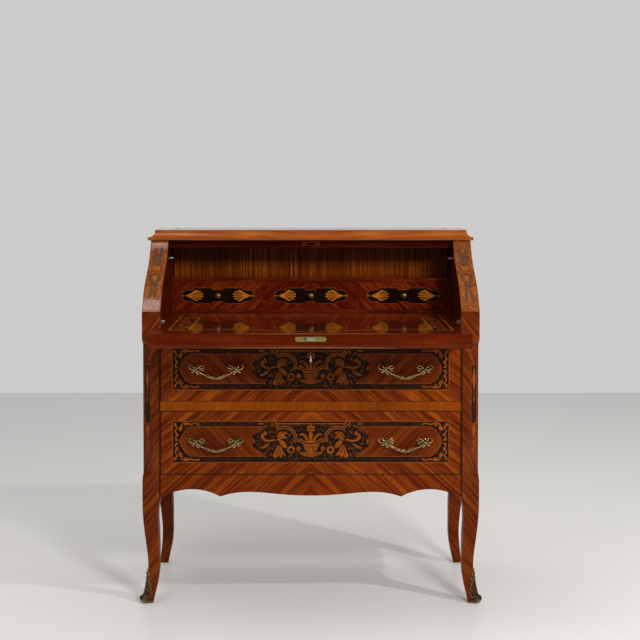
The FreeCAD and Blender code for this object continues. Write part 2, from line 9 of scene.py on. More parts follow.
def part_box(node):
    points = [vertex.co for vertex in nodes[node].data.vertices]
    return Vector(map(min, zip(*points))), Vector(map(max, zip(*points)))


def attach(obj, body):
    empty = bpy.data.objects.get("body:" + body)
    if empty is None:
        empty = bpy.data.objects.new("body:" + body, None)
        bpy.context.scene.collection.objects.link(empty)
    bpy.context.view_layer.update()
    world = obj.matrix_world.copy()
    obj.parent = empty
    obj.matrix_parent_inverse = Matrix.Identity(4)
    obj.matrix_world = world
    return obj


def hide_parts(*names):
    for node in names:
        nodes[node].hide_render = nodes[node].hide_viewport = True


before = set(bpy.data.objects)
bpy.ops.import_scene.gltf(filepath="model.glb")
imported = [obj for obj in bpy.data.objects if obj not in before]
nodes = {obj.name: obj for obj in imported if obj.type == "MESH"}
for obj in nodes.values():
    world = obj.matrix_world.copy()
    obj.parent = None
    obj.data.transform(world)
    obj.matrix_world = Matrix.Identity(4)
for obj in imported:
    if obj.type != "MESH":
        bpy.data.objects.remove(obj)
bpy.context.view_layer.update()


# Camera. It stands a little above the desk, straight in front of it, and looks down by less than
# two degrees.
scene = bpy.context.scene


def in_scene(name, data):
    """A new object in the scene."""
    made = bpy.data.objects.new(name, data)
    scene.collection.objects.link(made)
    return made


camera_data = bpy.data.cameras.new("camera")
camera_data.lens = 79.267
camera_data.shift_x = 0.01445
camera_data.shift_y = -0.15
camera = in_scene("camera", camera_data)
camera.location = (0, -3.8213, 1.1352)
camera.rotation_euler = (math.radians(90 - 1.803), 0, 0)
scene.camera = camera
scene.view_settings.view_transform = "Standard"


# Studio. A pale floor that ends far behind the desk and a pale grey room, a small lamp high on
# the right, a large one overhead, a faint one at the left and one low in front.
floor_mesh = bmesh.new()
bmesh.ops.create_grid(floor_mesh, x_segments=1, y_segments=1, size=1,
                      matrix=Matrix.LocRotScale((0, -3.2, 0), None, (7, 6.85, 1)))
floor_data = bpy.data.meshes.new("floor")
floor_mesh.to_mesh(floor_data)
floor_mesh.free()
floor = in_scene("floor", floor_data)
floor_finish = bpy.data.materials.new("studio_floor")
floor_finish.use_nodes = True
floor_shader = floor_finish.node_tree.nodes["Principled BSDF"]
floor_shader.inputs["Base Color"].default_value = (0.76, 0.747, 0.733, 1)
floor_shader.inputs["Roughness"].default_value = 0.38
floor_shader.inputs["Specular IOR Level"].default_value = 0.25
floor_data.materials.append(floor_finish)


def ramp(net, value, stops):
    """The colour of a value, from stops of a position and a colour."""
    made = net.nodes.new("ShaderNodeValToRGB")
    while len(made.color_ramp.elements) < len(stops):
        made.color_ramp.elements.new(0.5)
    for element, (position, colour) in zip(made.color_ramp.elements, stops):
        element.position = position
        element.color = (*colour, 1)
    net.links.new(value, made.inputs["Fac"])
    return made.outputs["Color"]


def mixed(net, share, first, second):
    """A mix of two colours, each a socket or a plain colour."""
    made = net.nodes.new("ShaderNodeMix")
    made.data_type = "RGBA"
    net.links.new(share, made.inputs["Factor"])
    for title, colour in (("A", first), ("B", second)):
        if isinstance(colour, tuple):
            made.inputs[title].default_value = (*colour, 1)
        else:
            net.links.new(colour, made.inputs[title])
    return made.outputs["Result"]


# The room lights the desk evenly, looks pale to the camera, and mirrors dark but for the wall
# behind the desk.
room = bpy.data.worlds.new("room")
scene.world = room
room.use_nodes = True
room_net = room.node_tree
wall_colour = (0.605, 0.600, 0.590)
bearing = room_net.nodes.new("ShaderNodeSeparateXYZ")
room_net.links.new(room_net.nodes.new("ShaderNodeTexCoord").outputs["Generated"], bearing.inputs[0])
mirrored_room = ramp(room_net, bearing.outputs["Y"], [(0.80, (0.05, 0.05, 0.053)), (0.88, wall_colour)])
rays = room_net.nodes.new("ShaderNodeLightPath")
seen_room = mixed(room_net, rays.outputs["Is Camera Ray"], (0.50, 0.50, 0.50), wall_colour)
room_net.links.new(mixed(room_net, rays.outputs["Is Glossy Ray"], seen_room, mirrored_room),
                   room_net.nodes["Background"].inputs["Color"])


def lamp(name, place, target, size, watts):
    """A soft rectangular lamp that faces a target."""
    data = bpy.data.lights.new(name, "AREA")
    data.shape = "RECTANGLE"
    data.size, data.size_y = size
    data.energy = watts
    data.color = (1, 0.985, 0.96)
    made = in_scene(name, data)
    made.location = place
    made.rotation_euler = (Vector(target) - Vector(place)).to_track_quat("-Z", "Y").to_euler()
    return made


lamp("right_lamp", (2.62, -1.8, 3.05), (0, 0, 0.5), (0.12, 0.12), 45)
ceiling_lamp = lamp("ceiling_lamp", (-0.4, 0.6, 3.8), (-0.4, 0.6, 0), (3.4, 3.4), 37)
ceiling_lamp.visible_glossy = False
lamp("left_top_lamp", (-0.74, -0.70, 2.85), (-0.43, 0.03, 0.85), (0.62, 0.60), 5.6)
front_lamp = lamp("front_lamp", (1.25, -3.05, 2.1), (0, 0, 0.6), (0.6, 0.6), 68)
front_lamp.visible_glossy = False


# Posts and legs. Each front post and leg is one length of wood, veneered in kingwood whose
# stripes lean, with a sunk corner; the pivot pins of the fall are let into the posts.
def tree(name):
    """A new material, its node tree and its shader."""
    material = bpy.data.materials.new(name)
    material.use_nodes = True
    net = material.node_tree
    return material, net, net.nodes["Principled BSDF"]


def calc(net, operation, *values):
    """The result of one step of arithmetic on sockets and numbers."""
    made = net.nodes.new("ShaderNodeMath")
    made.operation = operation
    for socket, value in zip(made.inputs, values):
        if isinstance(value, (int, float)):
            socket.default_value = value
        else:
            net.links.new(value, socket)
    return made.outputs[0]


def own_place(net, fold=None, fold_at=0.0):
    """A point of the piece; fold mirrors the pattern about a place on one axis, or wraps it."""
    point = net.nodes.new("ShaderNodeTexCoord").outputs["Object"]
    if fold is None:
        return point
    parts = net.nodes.new("ShaderNodeSeparateXYZ")
    net.links.new(point, parts.inputs[0])
    values = {axis: parts.outputs[axis] for axis in "XYZ"}
    if fold == "round":
        values["X"] = calc(net, "ADD", calc(net, "ABSOLUTE", values["X"]), values.pop("Y"))
    else:
        values[fold] = calc(net, "ABSOLUTE", calc(net, "SUBTRACT", values[fold], fold_at))
    joined = net.nodes.new("ShaderNodeCombineXYZ")
    for axis, value in values.items():
        net.links.new(value, joined.inputs[axis])
    return joined.outputs[0]


def along_grain(net, point, grain, scale):
    """Turns a point so that X runs along the grain, and stretches it."""
    turn = net.nodes.new("ShaderNodeMapping")
    turn.inputs["Rotation"].default_value = Vector(grain).rotation_difference(Vector((1, 0, 0))).to_euler()
    net.links.new(point, turn.inputs["Vector"])
    stretch = net.nodes.new("ShaderNodeMapping")
    stretch.inputs["Scale"].default_value = scale
    net.links.new(turn.outputs["Vector"], stretch.inputs["Vector"])
    return stretch.outputs["Vector"]


def noise(net, point, scale, detail=3.0, roughness=0.55, bend=0.0):
    made = net.nodes.new("ShaderNodeTexNoise")
    made.inputs["Scale"].default_value = scale
    made.inputs["Detail"].default_value = detail
    made.inputs["Roughness"].default_value = roughness
    made.inputs["Distortion"].default_value = bend
    net.links.new(point, made.inputs["Vector"])
    return made.outputs["Fac"]


def sheets_of(net, length, value):
    """Each sheet of veneer along X has its own tone, and a dark leaning joint at its end."""
    joint_width, tone_range, joint_depth = 0.0012, 0.16, 0.3
    parts = net.nodes.new("ShaderNodeSeparateXYZ")
    net.links.new(own_place(net), parts.inputs[0])
    leaning = calc(net, "SUBTRACT", parts.outputs["X"], parts.outputs["Z"])
    along = calc(net, "DIVIDE", leaning, length)
    tone = net.nodes.new("ShaderNodeTexWhiteNoise")
    tone.noise_dimensions = "1D"
    net.links.new(calc(net, "FLOOR", along), tone.inputs["W"])
    shift = calc(net, "MULTIPLY_ADD", tone.outputs["Value"], tone_range, -tone_range / 2)
    joint = calc(net, "LESS_THAN", calc(net, "FRACT", along), joint_width / length)
    return calc(net, "MULTIPLY_ADD", joint, -joint_depth, calc(net, "ADD", value, shift))


def polished(shader, coat, haze=0.07):
    """French polish: hardly a shine of its own, under a clear coat."""
    shader.inputs["Specular IOR Level"].default_value = 0.04
    shader.inputs["Coat Weight"].default_value = coat
    shader.inputs["Coat Roughness"].default_value = haze


def veneer(name, dark, middle, light, grain, fold=None, fold_at=0.0, width=1.0, polish=0.05,
           contrast=1.0, sheet=None, haze=0.07):
    """Polished veneer whose stripes run along the grain, with fine pores and slow clouds."""
    material, net, shader = tree(name)
    point = own_place(net, fold, fold_at)
    broad = noise(net, along_grain(net, point, grain, (4, 85 / width, 85 / width)), 1.0, 3.5, 0.6, 0.25)
    stripe = noise(net, along_grain(net, point, grain, (9, 300 / width, 300 / width)), 1.0, 3.0, 0.6)
    pore = noise(net, along_grain(net, point, grain, (60, 1500, 1500)), 1.0, 1.0, 0.5)
    cloud = noise(net, point, 7.0, 2.0, 0.5)
    value = calc(net, "MULTIPLY_ADD", stripe, 0.45, calc(net, "MULTIPLY", broad, 0.55))
    value = calc(net, "MULTIPLY_ADD", value, 2.0 * contrast, -contrast)
    value = calc(net, "MULTIPLY_ADD", cloud, 0.5, value)
    value = calc(net, "ADD", calc(net, "MULTIPLY_ADD", pore, 0.22, value), 0.14)
    if sheet is not None:
        value = sheets_of(net, sheet, value)
    net.links.new(ramp(net, value, [(0.12, dark), (0.5, middle), (0.88, light)]),
                  shader.inputs["Base Color"])
    net.links.new(calc(net, "MULTIPLY_ADD", stripe, 0.2, 0.28), shader.inputs["Roughness"])
    polished(shader, polish, haze)
    relief = net.nodes.new("ShaderNodeBump")
    relief.inputs["Strength"].default_value = 0.05
    relief.inputs["Distance"].default_value = 0.0004
    net.links.new(pore, relief.inputs["Height"])
    net.links.new(relief.outputs["Normal"], shader.inputs["Normal"])
    return material


def dress(finish, *names):
    """Gives CAD pieces a finish."""
    for name in names:
        mesh = nodes[name].data
        mesh.materials.clear()
        mesh.materials.append(finish)


def dress_faces(name, finishes, choose):
    """Adds finishes to a CAD piece and chooses one for each face by the way it faces."""
    mesh = nodes[name].data
    for finish in finishes:
        mesh.materials.append(finish)
    turned = nodes[name].matrix_world.to_3x3()
    for polygon in mesh.polygons:
        polygon.material_index = choose(turned @ polygon.normal)


def ribbon(line, width, ends=0.25):
    """The outline of a strip along a line, full in its middle and narrow at its ends."""
    points = [Vector(point[:2]) for point in line]
    sides = ([], [])
    last = len(points) - 1
    for number, point in enumerate(points):
        ahead = points[min(number + 1, last)] - points[max(number - 1, 0)]
        across = Vector((-ahead.y, ahead.x)).normalized()
        share = ends + (1 - ends) * math.sin(math.pi * number / last)
        for side, hand in zip(sides, (1, -1)):
            side.append(tuple(point + across * (hand * width * share / 2)))
    return sides[0] + sides[1][::-1]


def flipped(loops):
    """The same outlines on the other side of the middle."""
    return [[(-point[0], *point[1:]) for point in loop] for loop in loops]


def both(loops):
    return loops + flipped(loops)


def disc(x, y, radius, height=None, tilt=0.0):
    """A round or oval outline."""
    tall = radius if height is None else height
    lean = math.radians(tilt)
    points = []
    for step in range(8):
        angle = math.pi * step / 4
        across, up = radius * math.cos(angle), tall * math.sin(angle)
        points.append((x + across * math.cos(lean) - up * math.sin(lean),
                       y + across * math.sin(lean) + up * math.cos(lean)))
    return points


def slab(left, right, low, high):
    """A rectangle."""
    return [(left, low, 0), (right, low, 0), (right, high, 0), (left, high, 0)]


def closed(half):
    """A whole outline from one half, whose first and last points lie on the middle."""
    return half + [(-x, *rest) for x, *rest in half[-2:0:-1]]


def frame_loops(left, right, low, high, width):
    """A narrow band round a rectangle."""
    return [slab(left, right, low, high), slab(left + width, right - width, low + width, high - width)]


def finished_mesh(holder):
    """The mesh that an object makes of its curve or modifier; the object is removed."""
    bpy.context.view_layer.update()
    mesh = bpy.data.meshes.new_from_object(holder.evaluated_get(bpy.context.evaluated_depsgraph_get()))
    bpy.data.objects.remove(holder)
    return mesh


def opened(mesh):
    """The mesh's faces, ready for work; the mesh is removed."""
    form = bmesh.new()
    form.from_mesh(mesh)
    bpy.data.meshes.remove(mesh)
    return form


def sawn(loops, lift):
    """A mesh of thin wood sawn to closed outlines in millimetres; a third number makes a corner."""
    drawing = bpy.data.curves.new("outlines", "CURVE")
    drawing.dimensions = "2D"
    drawing.fill_mode = "BOTH"
    drawing.resolution_u = 5
    drawing.extrude = 0.1
    for loop in loops:
        line = drawing.splines.new("BEZIER")
        line.bezier_points.add(len(loop) - 1)
        line.use_cyclic_u = True
        for knot, point in zip(line.bezier_points, loop):
            knot.co = (point[0], point[1], 0)
            kind = "VECTOR" if len(point) == 3 else "AUTO"
            knot.handle_left_type = kind
            knot.handle_right_type = kind
    form = opened(finished_mesh(in_scene("outlines", drawing)))
    bmesh.ops.remove_doubles(form, verts=form.verts, dist=0.002)
    bmesh.ops.recalc_face_normals(form, faces=form.faces)
    bmesh.ops.translate(form, verts=form.verts, vec=(0, 0, lift))
    return form


def finished(name, form, finish, body):
    """A piece of the desk that rides on a body."""
    data = bpy.data.meshes.new(name)
    form.to_mesh(data)
    form.free()
    data.materials.append(finish)
    piece = in_scene(name, data)
    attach(piece, body)
    return piece


def placed(name, form, place, finish, body):
    """Puts a mesh in millimetres in its place on the desk."""
    bmesh.ops.transform(form, matrix=place @ Matrix.Scale(0.001, 4), verts=form.verts)
    return finished(name, form, finish, body)


def let_in(name, loops, lift, place, wood, body="carcass"):
    """Lets thin wood, sawn to outlines, into a flat face."""
    placed(name, sawn(loops, lift), place, wood, body)


def surface_of(name):
    """The surface of a CAD node, to lay thin wood on."""
    form = bmesh.new()
    form.from_mesh(nodes[name].data)
    form.transform(nodes[name].matrix_world)
    surface = BVHTree.FromBMesh(form)
    form.free()
    return surface


def laid(name, loops, lift, place, surface, wood, body="carcass"):
    """Lays thin wood on a curved surface: cut in narrow strips, then pressed on along the view."""
    strip = 4
    form = sawn(loops, lift)
    levels = [vert.co.y for vert in form.verts]
    level = min(levels) + strip
    while level < max(levels):
        bmesh.ops.bisect_plane(form, geom=form.verts[:] + form.edges[:] + form.faces[:],
                               plane_co=(0, level, 0), plane_no=(0, 1, 0))
        level += strip
    towards = -place.to_3x3().col[2]
    for vert in form.verts:
        start = place @ (Vector((vert.co.x, vert.co.y, 0)) * 0.001)
        spot, normal, _, _ = surface.ray_cast(start, towards)
        if normal.dot(towards) > 0:
            normal = -normal
        vert.co = spot + normal * (vert.co.z * 0.001)
    bmesh.ops.recalc_face_normals(form, faces=form.faces)
    finished(name, form, wood, body)


def facing(x, y, z, turn=0.0):
    """A place on an upright face: across, up, and outwards; it looks forward unless it is turned."""
    upright = Matrix(((1, 0, 0), (0, 0, -1), (0, 1, 0)))
    return Matrix.Translation((x, y, z)) @ (Matrix.Rotation(math.radians(turn), 3, "Z") @ upright).to_4x4()


def stained(name, colour, fleck, polish=0.05):
    """A plain dark or light inlay wood with soft grain and a few flecks."""
    material, net, shader = tree(name)
    point = own_place(net)
    fibre = noise(net, along_grain(net, point, (1, 0, 0), (30, 420, 420)), 1.0, 3.0, 0.6)
    cloud = noise(net, point, 60.0, 3.0, 0.6)
    value = calc(net, "MULTIPLY_ADD", cloud, 0.5, calc(net, "MULTIPLY", fibre, 0.6))
    between = tuple((a + b) / 2 for a, b in zip(colour, fleck))
    net.links.new(ramp(net, value, [(0.38, colour), (0.62, between), (0.8, fleck)]),
                  shader.inputs["Base Color"])
    shader.inputs["Roughness"].default_value = 0.34
    polished(shader, polish)
    return material


def petal(x0, y0, x1, y1, width):
    """A petal from a pointed base to a round tip."""
    base, tip = Vector((x0, y0)), Vector((x1, y1))
    across = Vector((y0 - y1, x1 - x0)).normalized() * (width / 2)
    full = base.lerp(tip, 0.72)
    return [(x0, y0, 0), tuple(full + across), (x1, y1), tuple(full - across)]


ground_wood = stained("dark_ground", (0.013, 0.0033, 0.0012), (0.055, 0.015, 0.004))
string_wood = stained("orange_stringing", (0.16, 0.038, 0.005), (0.30, 0.085, 0.014))
gold_wood = stained("gold_inlay", (0.15, 0.028, 0.002), (0.44, 0.115, 0.009))
# A darker copy of the gold inlay, used on the upper drawer: painted shade of the open fall above it.
gold_in_painted_shade = stained("gold_inlay_in_painted_shade", (0.11, 0.021, 0.002), (0.32, 0.078, 0.007))
amber_wood = stained("amber_inlay", (0.11, 0.024, 0.003), (0.30, 0.09, 0.012))
brown_wood = stained("brown_inlay", (0.035, 0.010, 0.003), (0.11, 0.038, 0.010))
wood_dark = (0.05, 0.0050, 0.0004)
wood_middle = (0.155, 0.0215, 0.0008)
wood_light = (0.30, 0.065, 0.003)
front_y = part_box("right_front_leg")[0].y
leg_wood = veneer("kingwood_leaning", (0.035, 0.0040, 0.0005), (0.120, 0.0175, 0.0014),
                  (0.235, 0.052, 0.005), (-0.8, 0, 1), fold="round", contrast=1.25)
dress(leg_wood, "right_front_leg", "left_front_leg", "right_rear_leg", "left_rear_leg")

# Inlay on the sunk corner of each front post, from the middle of the corner's height.
corner_dark = [closed([(0, 110, 0), (-2.2, 121, 0), (-9.6, 121, 0), (-10, 40), (-10, -26), (-7, -33),
                       (0, -36, 0)])]
corner_gold = [
    closed([(0, 116, 0), (2.4, 104), (6.4, 84), (3.4, 68), (1.1, 54, 0), (1.1, 36), (2.2, 26), (0, 20, 0)]),
    closed([(0, -37, 0), (4, -44), (7.6, -58, 0), (4.2, -60), (3.2, -66), (0, -75, 0)]),
    ribbon([(-7, -84), (-1, -90), (2.5, -100), (-2.5, -109), (-7, -103)], 4.4, 0.4),
    petal(1, -88, 9, -80, 5), petal(3.5, -97, 10, -93, 4.4),
]
corner_depth = 0.0270 / 2
corner_drop = 0.265
half_width = 0.450
post_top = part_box("right_front_leg")[1].z
for hand, side in ((1, "right"), (-1, "left")):
    spot = facing(hand * (half_width - corner_depth), front_y + corner_depth, post_top - corner_drop,
                  45 * hand)
    let_in(side + "_corner_stringing", frame_loops(-11.8, 11.8, -38, 123, 1.3), 0.15, spot, string_wood)
    let_in(side + "_corner_dark", corner_dark, 0.2, spot, ground_wood)
    let_in(side + "_corner_gold", corner_gold, 0.3, spot, gold_wood)


# Old brass. The castings are gilt brass gone brown, bright only where hands and cloths reach.
def brass(name, deep, worn, roughness):
    """Brass with dirt in its hollows and wear on its high places."""
    material, net, shader = tree(name)
    patch = noise(net, own_place(net), 260.0, 4.0, 0.65)
    hollow = net.nodes.new("ShaderNodeNewGeometry").outputs["Pointiness"]
    high = calc(net, "MULTIPLY", calc(net, "SUBTRACT", hollow, 0.5), 9.0)
    wear = calc(net, "MULTIPLY_ADD", patch, 0.7, high)
    net.links.new(ramp(net, wear, [(0.30, deep), (0.66, worn)]), shader.inputs["Base Color"])
    net.links.new(calc(net, "MULTIPLY_ADD", patch, 0.25, roughness - 0.1), shader.inputs["Roughness"])
    shader.inputs["Metallic"].default_value = 1.0
    return material


old_brass = brass("old_brass", (0.028, 0.012, 0.004), (0.80, 0.56, 0.23), 0.24)
clean_brass = brass("rubbed_brass", (0.13, 0.09, 0.009), (0.56, 0.44, 0.11), 0.28)


# Cheeks. Each gable is veneered on its side in leaning kingwood; its sloped edge carries a
# marquetry strip.
cheek_wood = veneer("cheek_wood", wood_dark, (0.19, 0.040, 0.005), (0.34, 0.10, 0.014), (-0.9, 0, 1),
                    fold="round", polish=1.0, haze=0.22)
dress(cheek_wood, "right_cheek", "left_cheek")
inner_wood = veneer("cheek_inner_wood", (0.022, 0.0015, 0.0005), (0.062, 0.0048, 0.0009),
                    (0.13, 0.016, 0.002), (0, 0, 1), width=0.8)
block_wood = veneer("block_wood", (0.045, 0.0060, 0.0012), (0.150, 0.026, 0.0035), (0.28, 0.068, 0.012),
                    (-0.9, 0, 1), fold="round", polish=0.5, haze=0.3)
gable_wood = veneer("gable_wood", wood_dark, wood_middle, wood_light, (0.8, 0, 1), fold="round")


def cheek_finish(normal, hand):
    """The slope 0, the inner side 1, the block's front 2, the outer side and the rear 3."""
    if normal.x * hand < -0.9:
        return 1
    if normal.y < -0.9:
        return 2
    return 3 if normal.x * hand > 0.9 or normal.y > 0.9 else 0


cheek_finishes = (inner_wood, block_wood, gable_wood)
dress_faces("right_cheek", cheek_finishes, lambda normal: cheek_finish(normal, 1))
dress_faces("left_cheek", cheek_finishes, lambda normal: cheek_finish(normal, -1))

# Marquetry on the slope, from the foot of the slope and the middle of its width.
slope_dark = both([
    [(3.4, 162, 0), (6, 157), (8, 163, 0), (11.5, 158), (12.5, 148), (10.8, 142.6, 0), (4.6, 142.6, 0),
     (3.0, 150)],
    [(1.5, 98, 0), (13, 96), (11, 90), (15.5, 85), (13.4, 76), (9, 70), (11.5, 64), (5, 58.6, 0),
     (0.4, 62, 0), (0.4, 71, 0), (5, 77), (10.6, 86), (7, 93)],
    ribbon([(2.9, 59), (4.6, 50), (7, 39), (9.4, 29), (9, 21)], 6.2, 0.35),
    ribbon([(14, 136), (17.6, 128), (15.4, 118)], 2.4, 0.3),
    petal(14, 38, 20.5, 27, 3.4), petal(3, 20, 7, 9, 3.2), petal(-13, 172, -18, 164, 3),
]) + [
    [(-11, 142, 0), (11, 142, 0), (8.6, 134), (9.2, 127), (12.4, 120), (9.4, 114.5, 0), (0, 112),
     (-9.4, 114.5, 0), (-12.4, 120), (-9.2, 127), (-8.6, 134)],
]
slope_gold = both([
    ribbon([(13, 146), (18.4, 142), (20, 133), (17.4, 124), (14, 128)], 3.4, 0.35),
    ribbon([(14, 118), (19.4, 112), (18.6, 102), (15, 98)], 3.6, 0.35),
    ribbon([(17, 93), (20.6, 85), (18, 74), (13.6, 68)], 3.4, 0.35),
    [(13, 62), (18.6, 55), (20.2, 44), (15.4, 37), (11.6, 44), (15, 52)],
    ribbon([(16, 22), (20, 16), (16, 9), (11, 12)], 3.0, 0.35),
    [(0.6, 99.5, 0), (8.4, 102), (10.2, 108), (8.2, 112.5), (4.6, 111), (0.6, 111.6, 0)],
    ribbon([(1, 95.6), (6, 96.8), (11, 94), (17, 95)], 2.0, 0.4),
]) + [
    ribbon([(0, 160), (0, 150), (0, 143)], 3.6, 0.3),
    [(-8.8, 89, 0), (8.8, 89, 0), (4.6, 81), (1.6, 74.6), (-1.6, 74.6), (-4.6, 81)],
    petal(0, 168, 0, 175, 5), petal(-3, 167, -9, 172, 4), petal(3, 167, 9, 172, 4),
    disc(0, 54, 2.4), disc(0, 46.6, 2.6), disc(0, 39, 2.4), disc(0, 32, 2.1), disc(0, 25.8, 1.8),
    disc(0, 20.4, 1.4),
]
slope_brown = stained("slope_brown", (0.070, 0.026, 0.012), (0.145, 0.066, 0.034), polish=1.0)
slope_orange = stained("slope_orange", (0.20, 0.050, 0.004), (0.36, 0.115, 0.012), polish=1.0)
for hand, side in ((1, "right"), (-1, "left")):
    slope = surface_of(side + "_cheek")
    spot = facing(hand * 0.4255, front_y - 0.05, post_top)
    laid(side + "_slope_dark", slope_dark, 0.25, spot, slope, slope_brown)
    laid(side + "_slope_gold", slope_gold, 0.4, spot, slope, slope_orange)
    laid(side + "_slope_stringing", frame_loops(-23.2, 23.2, 2, 177, 1.2), 0.3, spot, slope, string_wood)


# Top. A veneered board with a line of stringing let in. A moulding, mitred at the corners, is
# glued along its front and its two sides.
top_wood = veneer("top_wood", (0.07, 0.010, 0.001), (0.22, 0.045, 0.006), (0.38, 0.11, 0.02), (-1, 1, 0),
                  fold="X", width=1.3, polish=1.0)
dress(top_wood, "top_board")
board_low, board_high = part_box("top_board")
top_spot = Matrix.Translation((0, (board_low.y + board_high.y) / 2, board_high.z))
top_reach = (board_high.y - board_low.y) * 500
let_in("top_stringing", frame_loops(-388, 388, 38 - top_reach, top_reach - 38, 2.4), 0.05, top_spot,
       string_wood)
let_in("top_shade", frame_loops(-389.4, 389.4, 36.6 - top_reach, top_reach - 36.6, 1.4), 0.05, top_spot,
       ground_wood)
moulding_wood = veneer("moulding_wood", (0.11, 0.017, 0.0015), (0.275, 0.062, 0.008), (0.44, 0.14, 0.022),
                       (1, 0, 0.05), fold="round", contrast=0.8, width=0.8, polish=0.8, haze=0.12)
dress(moulding_wood, "top_moulding")


# Sides, aprons and back. The side boards and the shaped aprons are veneered and held between the
# posts. The back, the bottom and the runners inside are plain boards.
side_wood = veneer("side_wood", wood_dark, wood_middle, wood_light, (0.1, -1, 1), fold="Y", fold_at=0.136)
dress(side_wood, "right_side_panel", "left_side_panel", "right_apron", "left_apron")
chevron_wood = veneer("kingwood_chevron", wood_dark, wood_middle, wood_light, (-1, 0, 0.9), fold="X",
                      contrast=1.3)
dress(chevron_wood, "front_apron", "fall_rail")
rail_wood = veneer("crossbanded_rail", (0.105, 0.017, 0.001), (0.215, 0.041, 0.001), (0.31, 0.075, 0.003),
                   (0.12, 0, 1), contrast=0.5, sheet=0.122)
dress(rail_wood, "mid_rail")

# A stringing frame is let into each side panel.
side_margin, end_margin = 26, 24
for hand, side in ((1, "right"), (-1, "left")):
    low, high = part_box(side + "_side_panel")
    reach, rise = (high.y - low.y) * 500 - side_margin, (high.z - low.z) * 500 - end_margin
    spot = facing(hand * half_width, (low.y + high.y) / 2, (low.z + high.z) / 2, 90 * hand)
    let_in(side + "_side_line", frame_loops(-reach, reach, -rise, rise, 2.2), 0.05, spot, string_wood)
    let_in(side + "_side_shade", frame_loops(-reach - 1.4, reach + 1.4, -rise - 1.4, rise + 1.4, 1.4),
           0.05, spot, ground_wood)

# Dark strips are let in beside the drawer openings and along the top of the apron: painted shade standing for
# the shadow in the gaps round the drawers.
rail_low, rail_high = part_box("mid_rail")
apron_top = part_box("lower_drawer_front")[0].z * 1000 - 0.3
post_painted_shadows = both([slab(401.2, 405.4, apron_top - 60, post_top * 1000 - 30)])
let_in("post_painted_shadows", post_painted_shadows, 0.05, facing(0, front_y, 0), ground_wood)
rail_painted_shadows = [slab(-400.8, 400.8, level, level + 1.2)
              for level in (rail_low.z * 1000 + 0.1, rail_high.z * 1000 - 1.3)]
let_in("rail_painted_shadows", rail_painted_shadows, 0.05, facing(0, front_y, 0), ground_wood)
apron_painted_shadow = [slab(-400.8, 400.8, apron_top - 2.8, apron_top - 0.2)]
let_in("apron_painted_shadow", apron_painted_shadow, 0.05, facing(0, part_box("front_apron")[0].y, 0), ground_wood)
plain_wood = veneer("plain_wood", (0.12, 0.055, 0.020), (0.22, 0.11, 0.045), (0.31, 0.17, 0.075),
                    (1, 0, 0), width=0.9, polish=0.0, contrast=0.5)
dress(plain_wood, "back_panel", "back_rail", "bottom_board", "dust_board", "drawer_runners",
      "drawer_guides")


# Fall and writing board. Two veneered boards that make one polished surface when the fall is
# open. The fall turns on metal arms let into its ends and locks in the middle of its edge.
surface_wood = veneer("surface_wood", (0.022, 0.0015, 0.0002), (0.064, 0.0057, 0.0004),
                      (0.135, 0.019, 0.0015), (-1, 0.9, 0), fold="X", polish=1.0)
dress(surface_wood, "fall_panel", "writing_board")
edge_wood = veneer("fall_edge_wood", (0.035, 0.0024, 0.0003), (0.078, 0.0072, 0.0005),
                   (0.15, 0.022, 0.002), (1, 0, 0), contrast=0.5, width=0.7, polish=0.0)
# The bevel under the front edge is a lighter copy of the edge veneer: a painted reflection of the floor.
bevel_veneer_painted_reflection = veneer("fall_bevel_veneer_painted_reflection", (0.055, 0.0042, 0.0004), (0.115, 0.0125, 0.0008),
                    (0.20, 0.033, 0.003), (1, 0, 0), contrast=0.6, width=0.7, polish=0.0)
outer_wood = veneer("fall_outer_wood", wood_dark, wood_middle, wood_light, (-1, 0.8, 0), fold="X")


def fall_finish(normal):
    """The writing side 0, the edges 1, the bevel under the front edge 2, the outside 3."""
    if normal.z > 0.9:
        return 0
    if normal.z < -0.9:
        return 3
    return 2 if normal.y < -0.4 and normal.z < -0.4 else 1


dress_faces("fall_panel", (edge_wood, bevel_veneer_painted_reflection, outer_wood), fall_finish)
fall_low, fall_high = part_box("fall_panel")
seam = fall_high.y * 1000
wave = [(-307, -252), (-262, -252), (-215, -256), (-165, -263), (-120, -276), (-80, -291), (-40, -303),
        (0, -308)]
inner_edge = wave + [(-x, y) for x, y in wave[-2::-1]]
side_field = slab(-358, -307, -273, seam - 3)
level = Matrix.Translation((0, 0, fall_high.z))
border_wood = stained("polished_border", (0.016, 0.0025, 0.0008), (0.055, 0.010, 0.002), polish=1.0)
line_wood = stained("polished_line", (0.28, 0.070, 0.006), (0.46, 0.150, 0.017), polish=1.0)
scroll_wood = stained("polished_scroll", (0.15, 0.030, 0.003), (0.34, 0.095, 0.010), polish=1.0)
let_in("fall_border", both([side_field]), 0.05, level, border_wood, "fall")
front_lines = both([
    ribbon([(-359, seam - 3), (-359, -100), (-359, -275)], 2.6, 1),
    ribbon([(-307, seam - 3), (-307, -100), (-307, -275)], 2.6, 1),
    ribbon([(-357.7, -274), (-340, -274), (-308.3, -274)], 2.8, 1),
]) + [ribbon(inner_edge, 4.2, 0.8)]
let_in("fall_lines", front_lines, 0.15, level, line_wood, "fall")


def scrolls(x0, y0, x1, y1, count, reach):
    """A running scroll of leaves from one point to another."""
    start, run = Vector((x0, y0)), Vector((x1 - x0, y1 - y0)) / count
    side = Vector((-run.y, run.x)).normalized() * reach
    loops = []
    for number in range(count):
        near = start + run * number
        hand = side if number % 2 else -side
        stem = [near, near + run * 0.3 + hand * 0.7, near + run * 0.75 + hand * 0.55, near + run]
        loops.append(ribbon([tuple(point) for point in stem], reach * 0.42, 0.3))
        bud = near + run * 0.5 - hand * 0.35
        loops.append(petal(*tuple(near + run * 0.35), *tuple(bud - hand * 0.35), reach * 0.5))
        loops.append(disc(*tuple(near + run * 0.95 - hand * 0.5), reach * 0.2))
    return loops


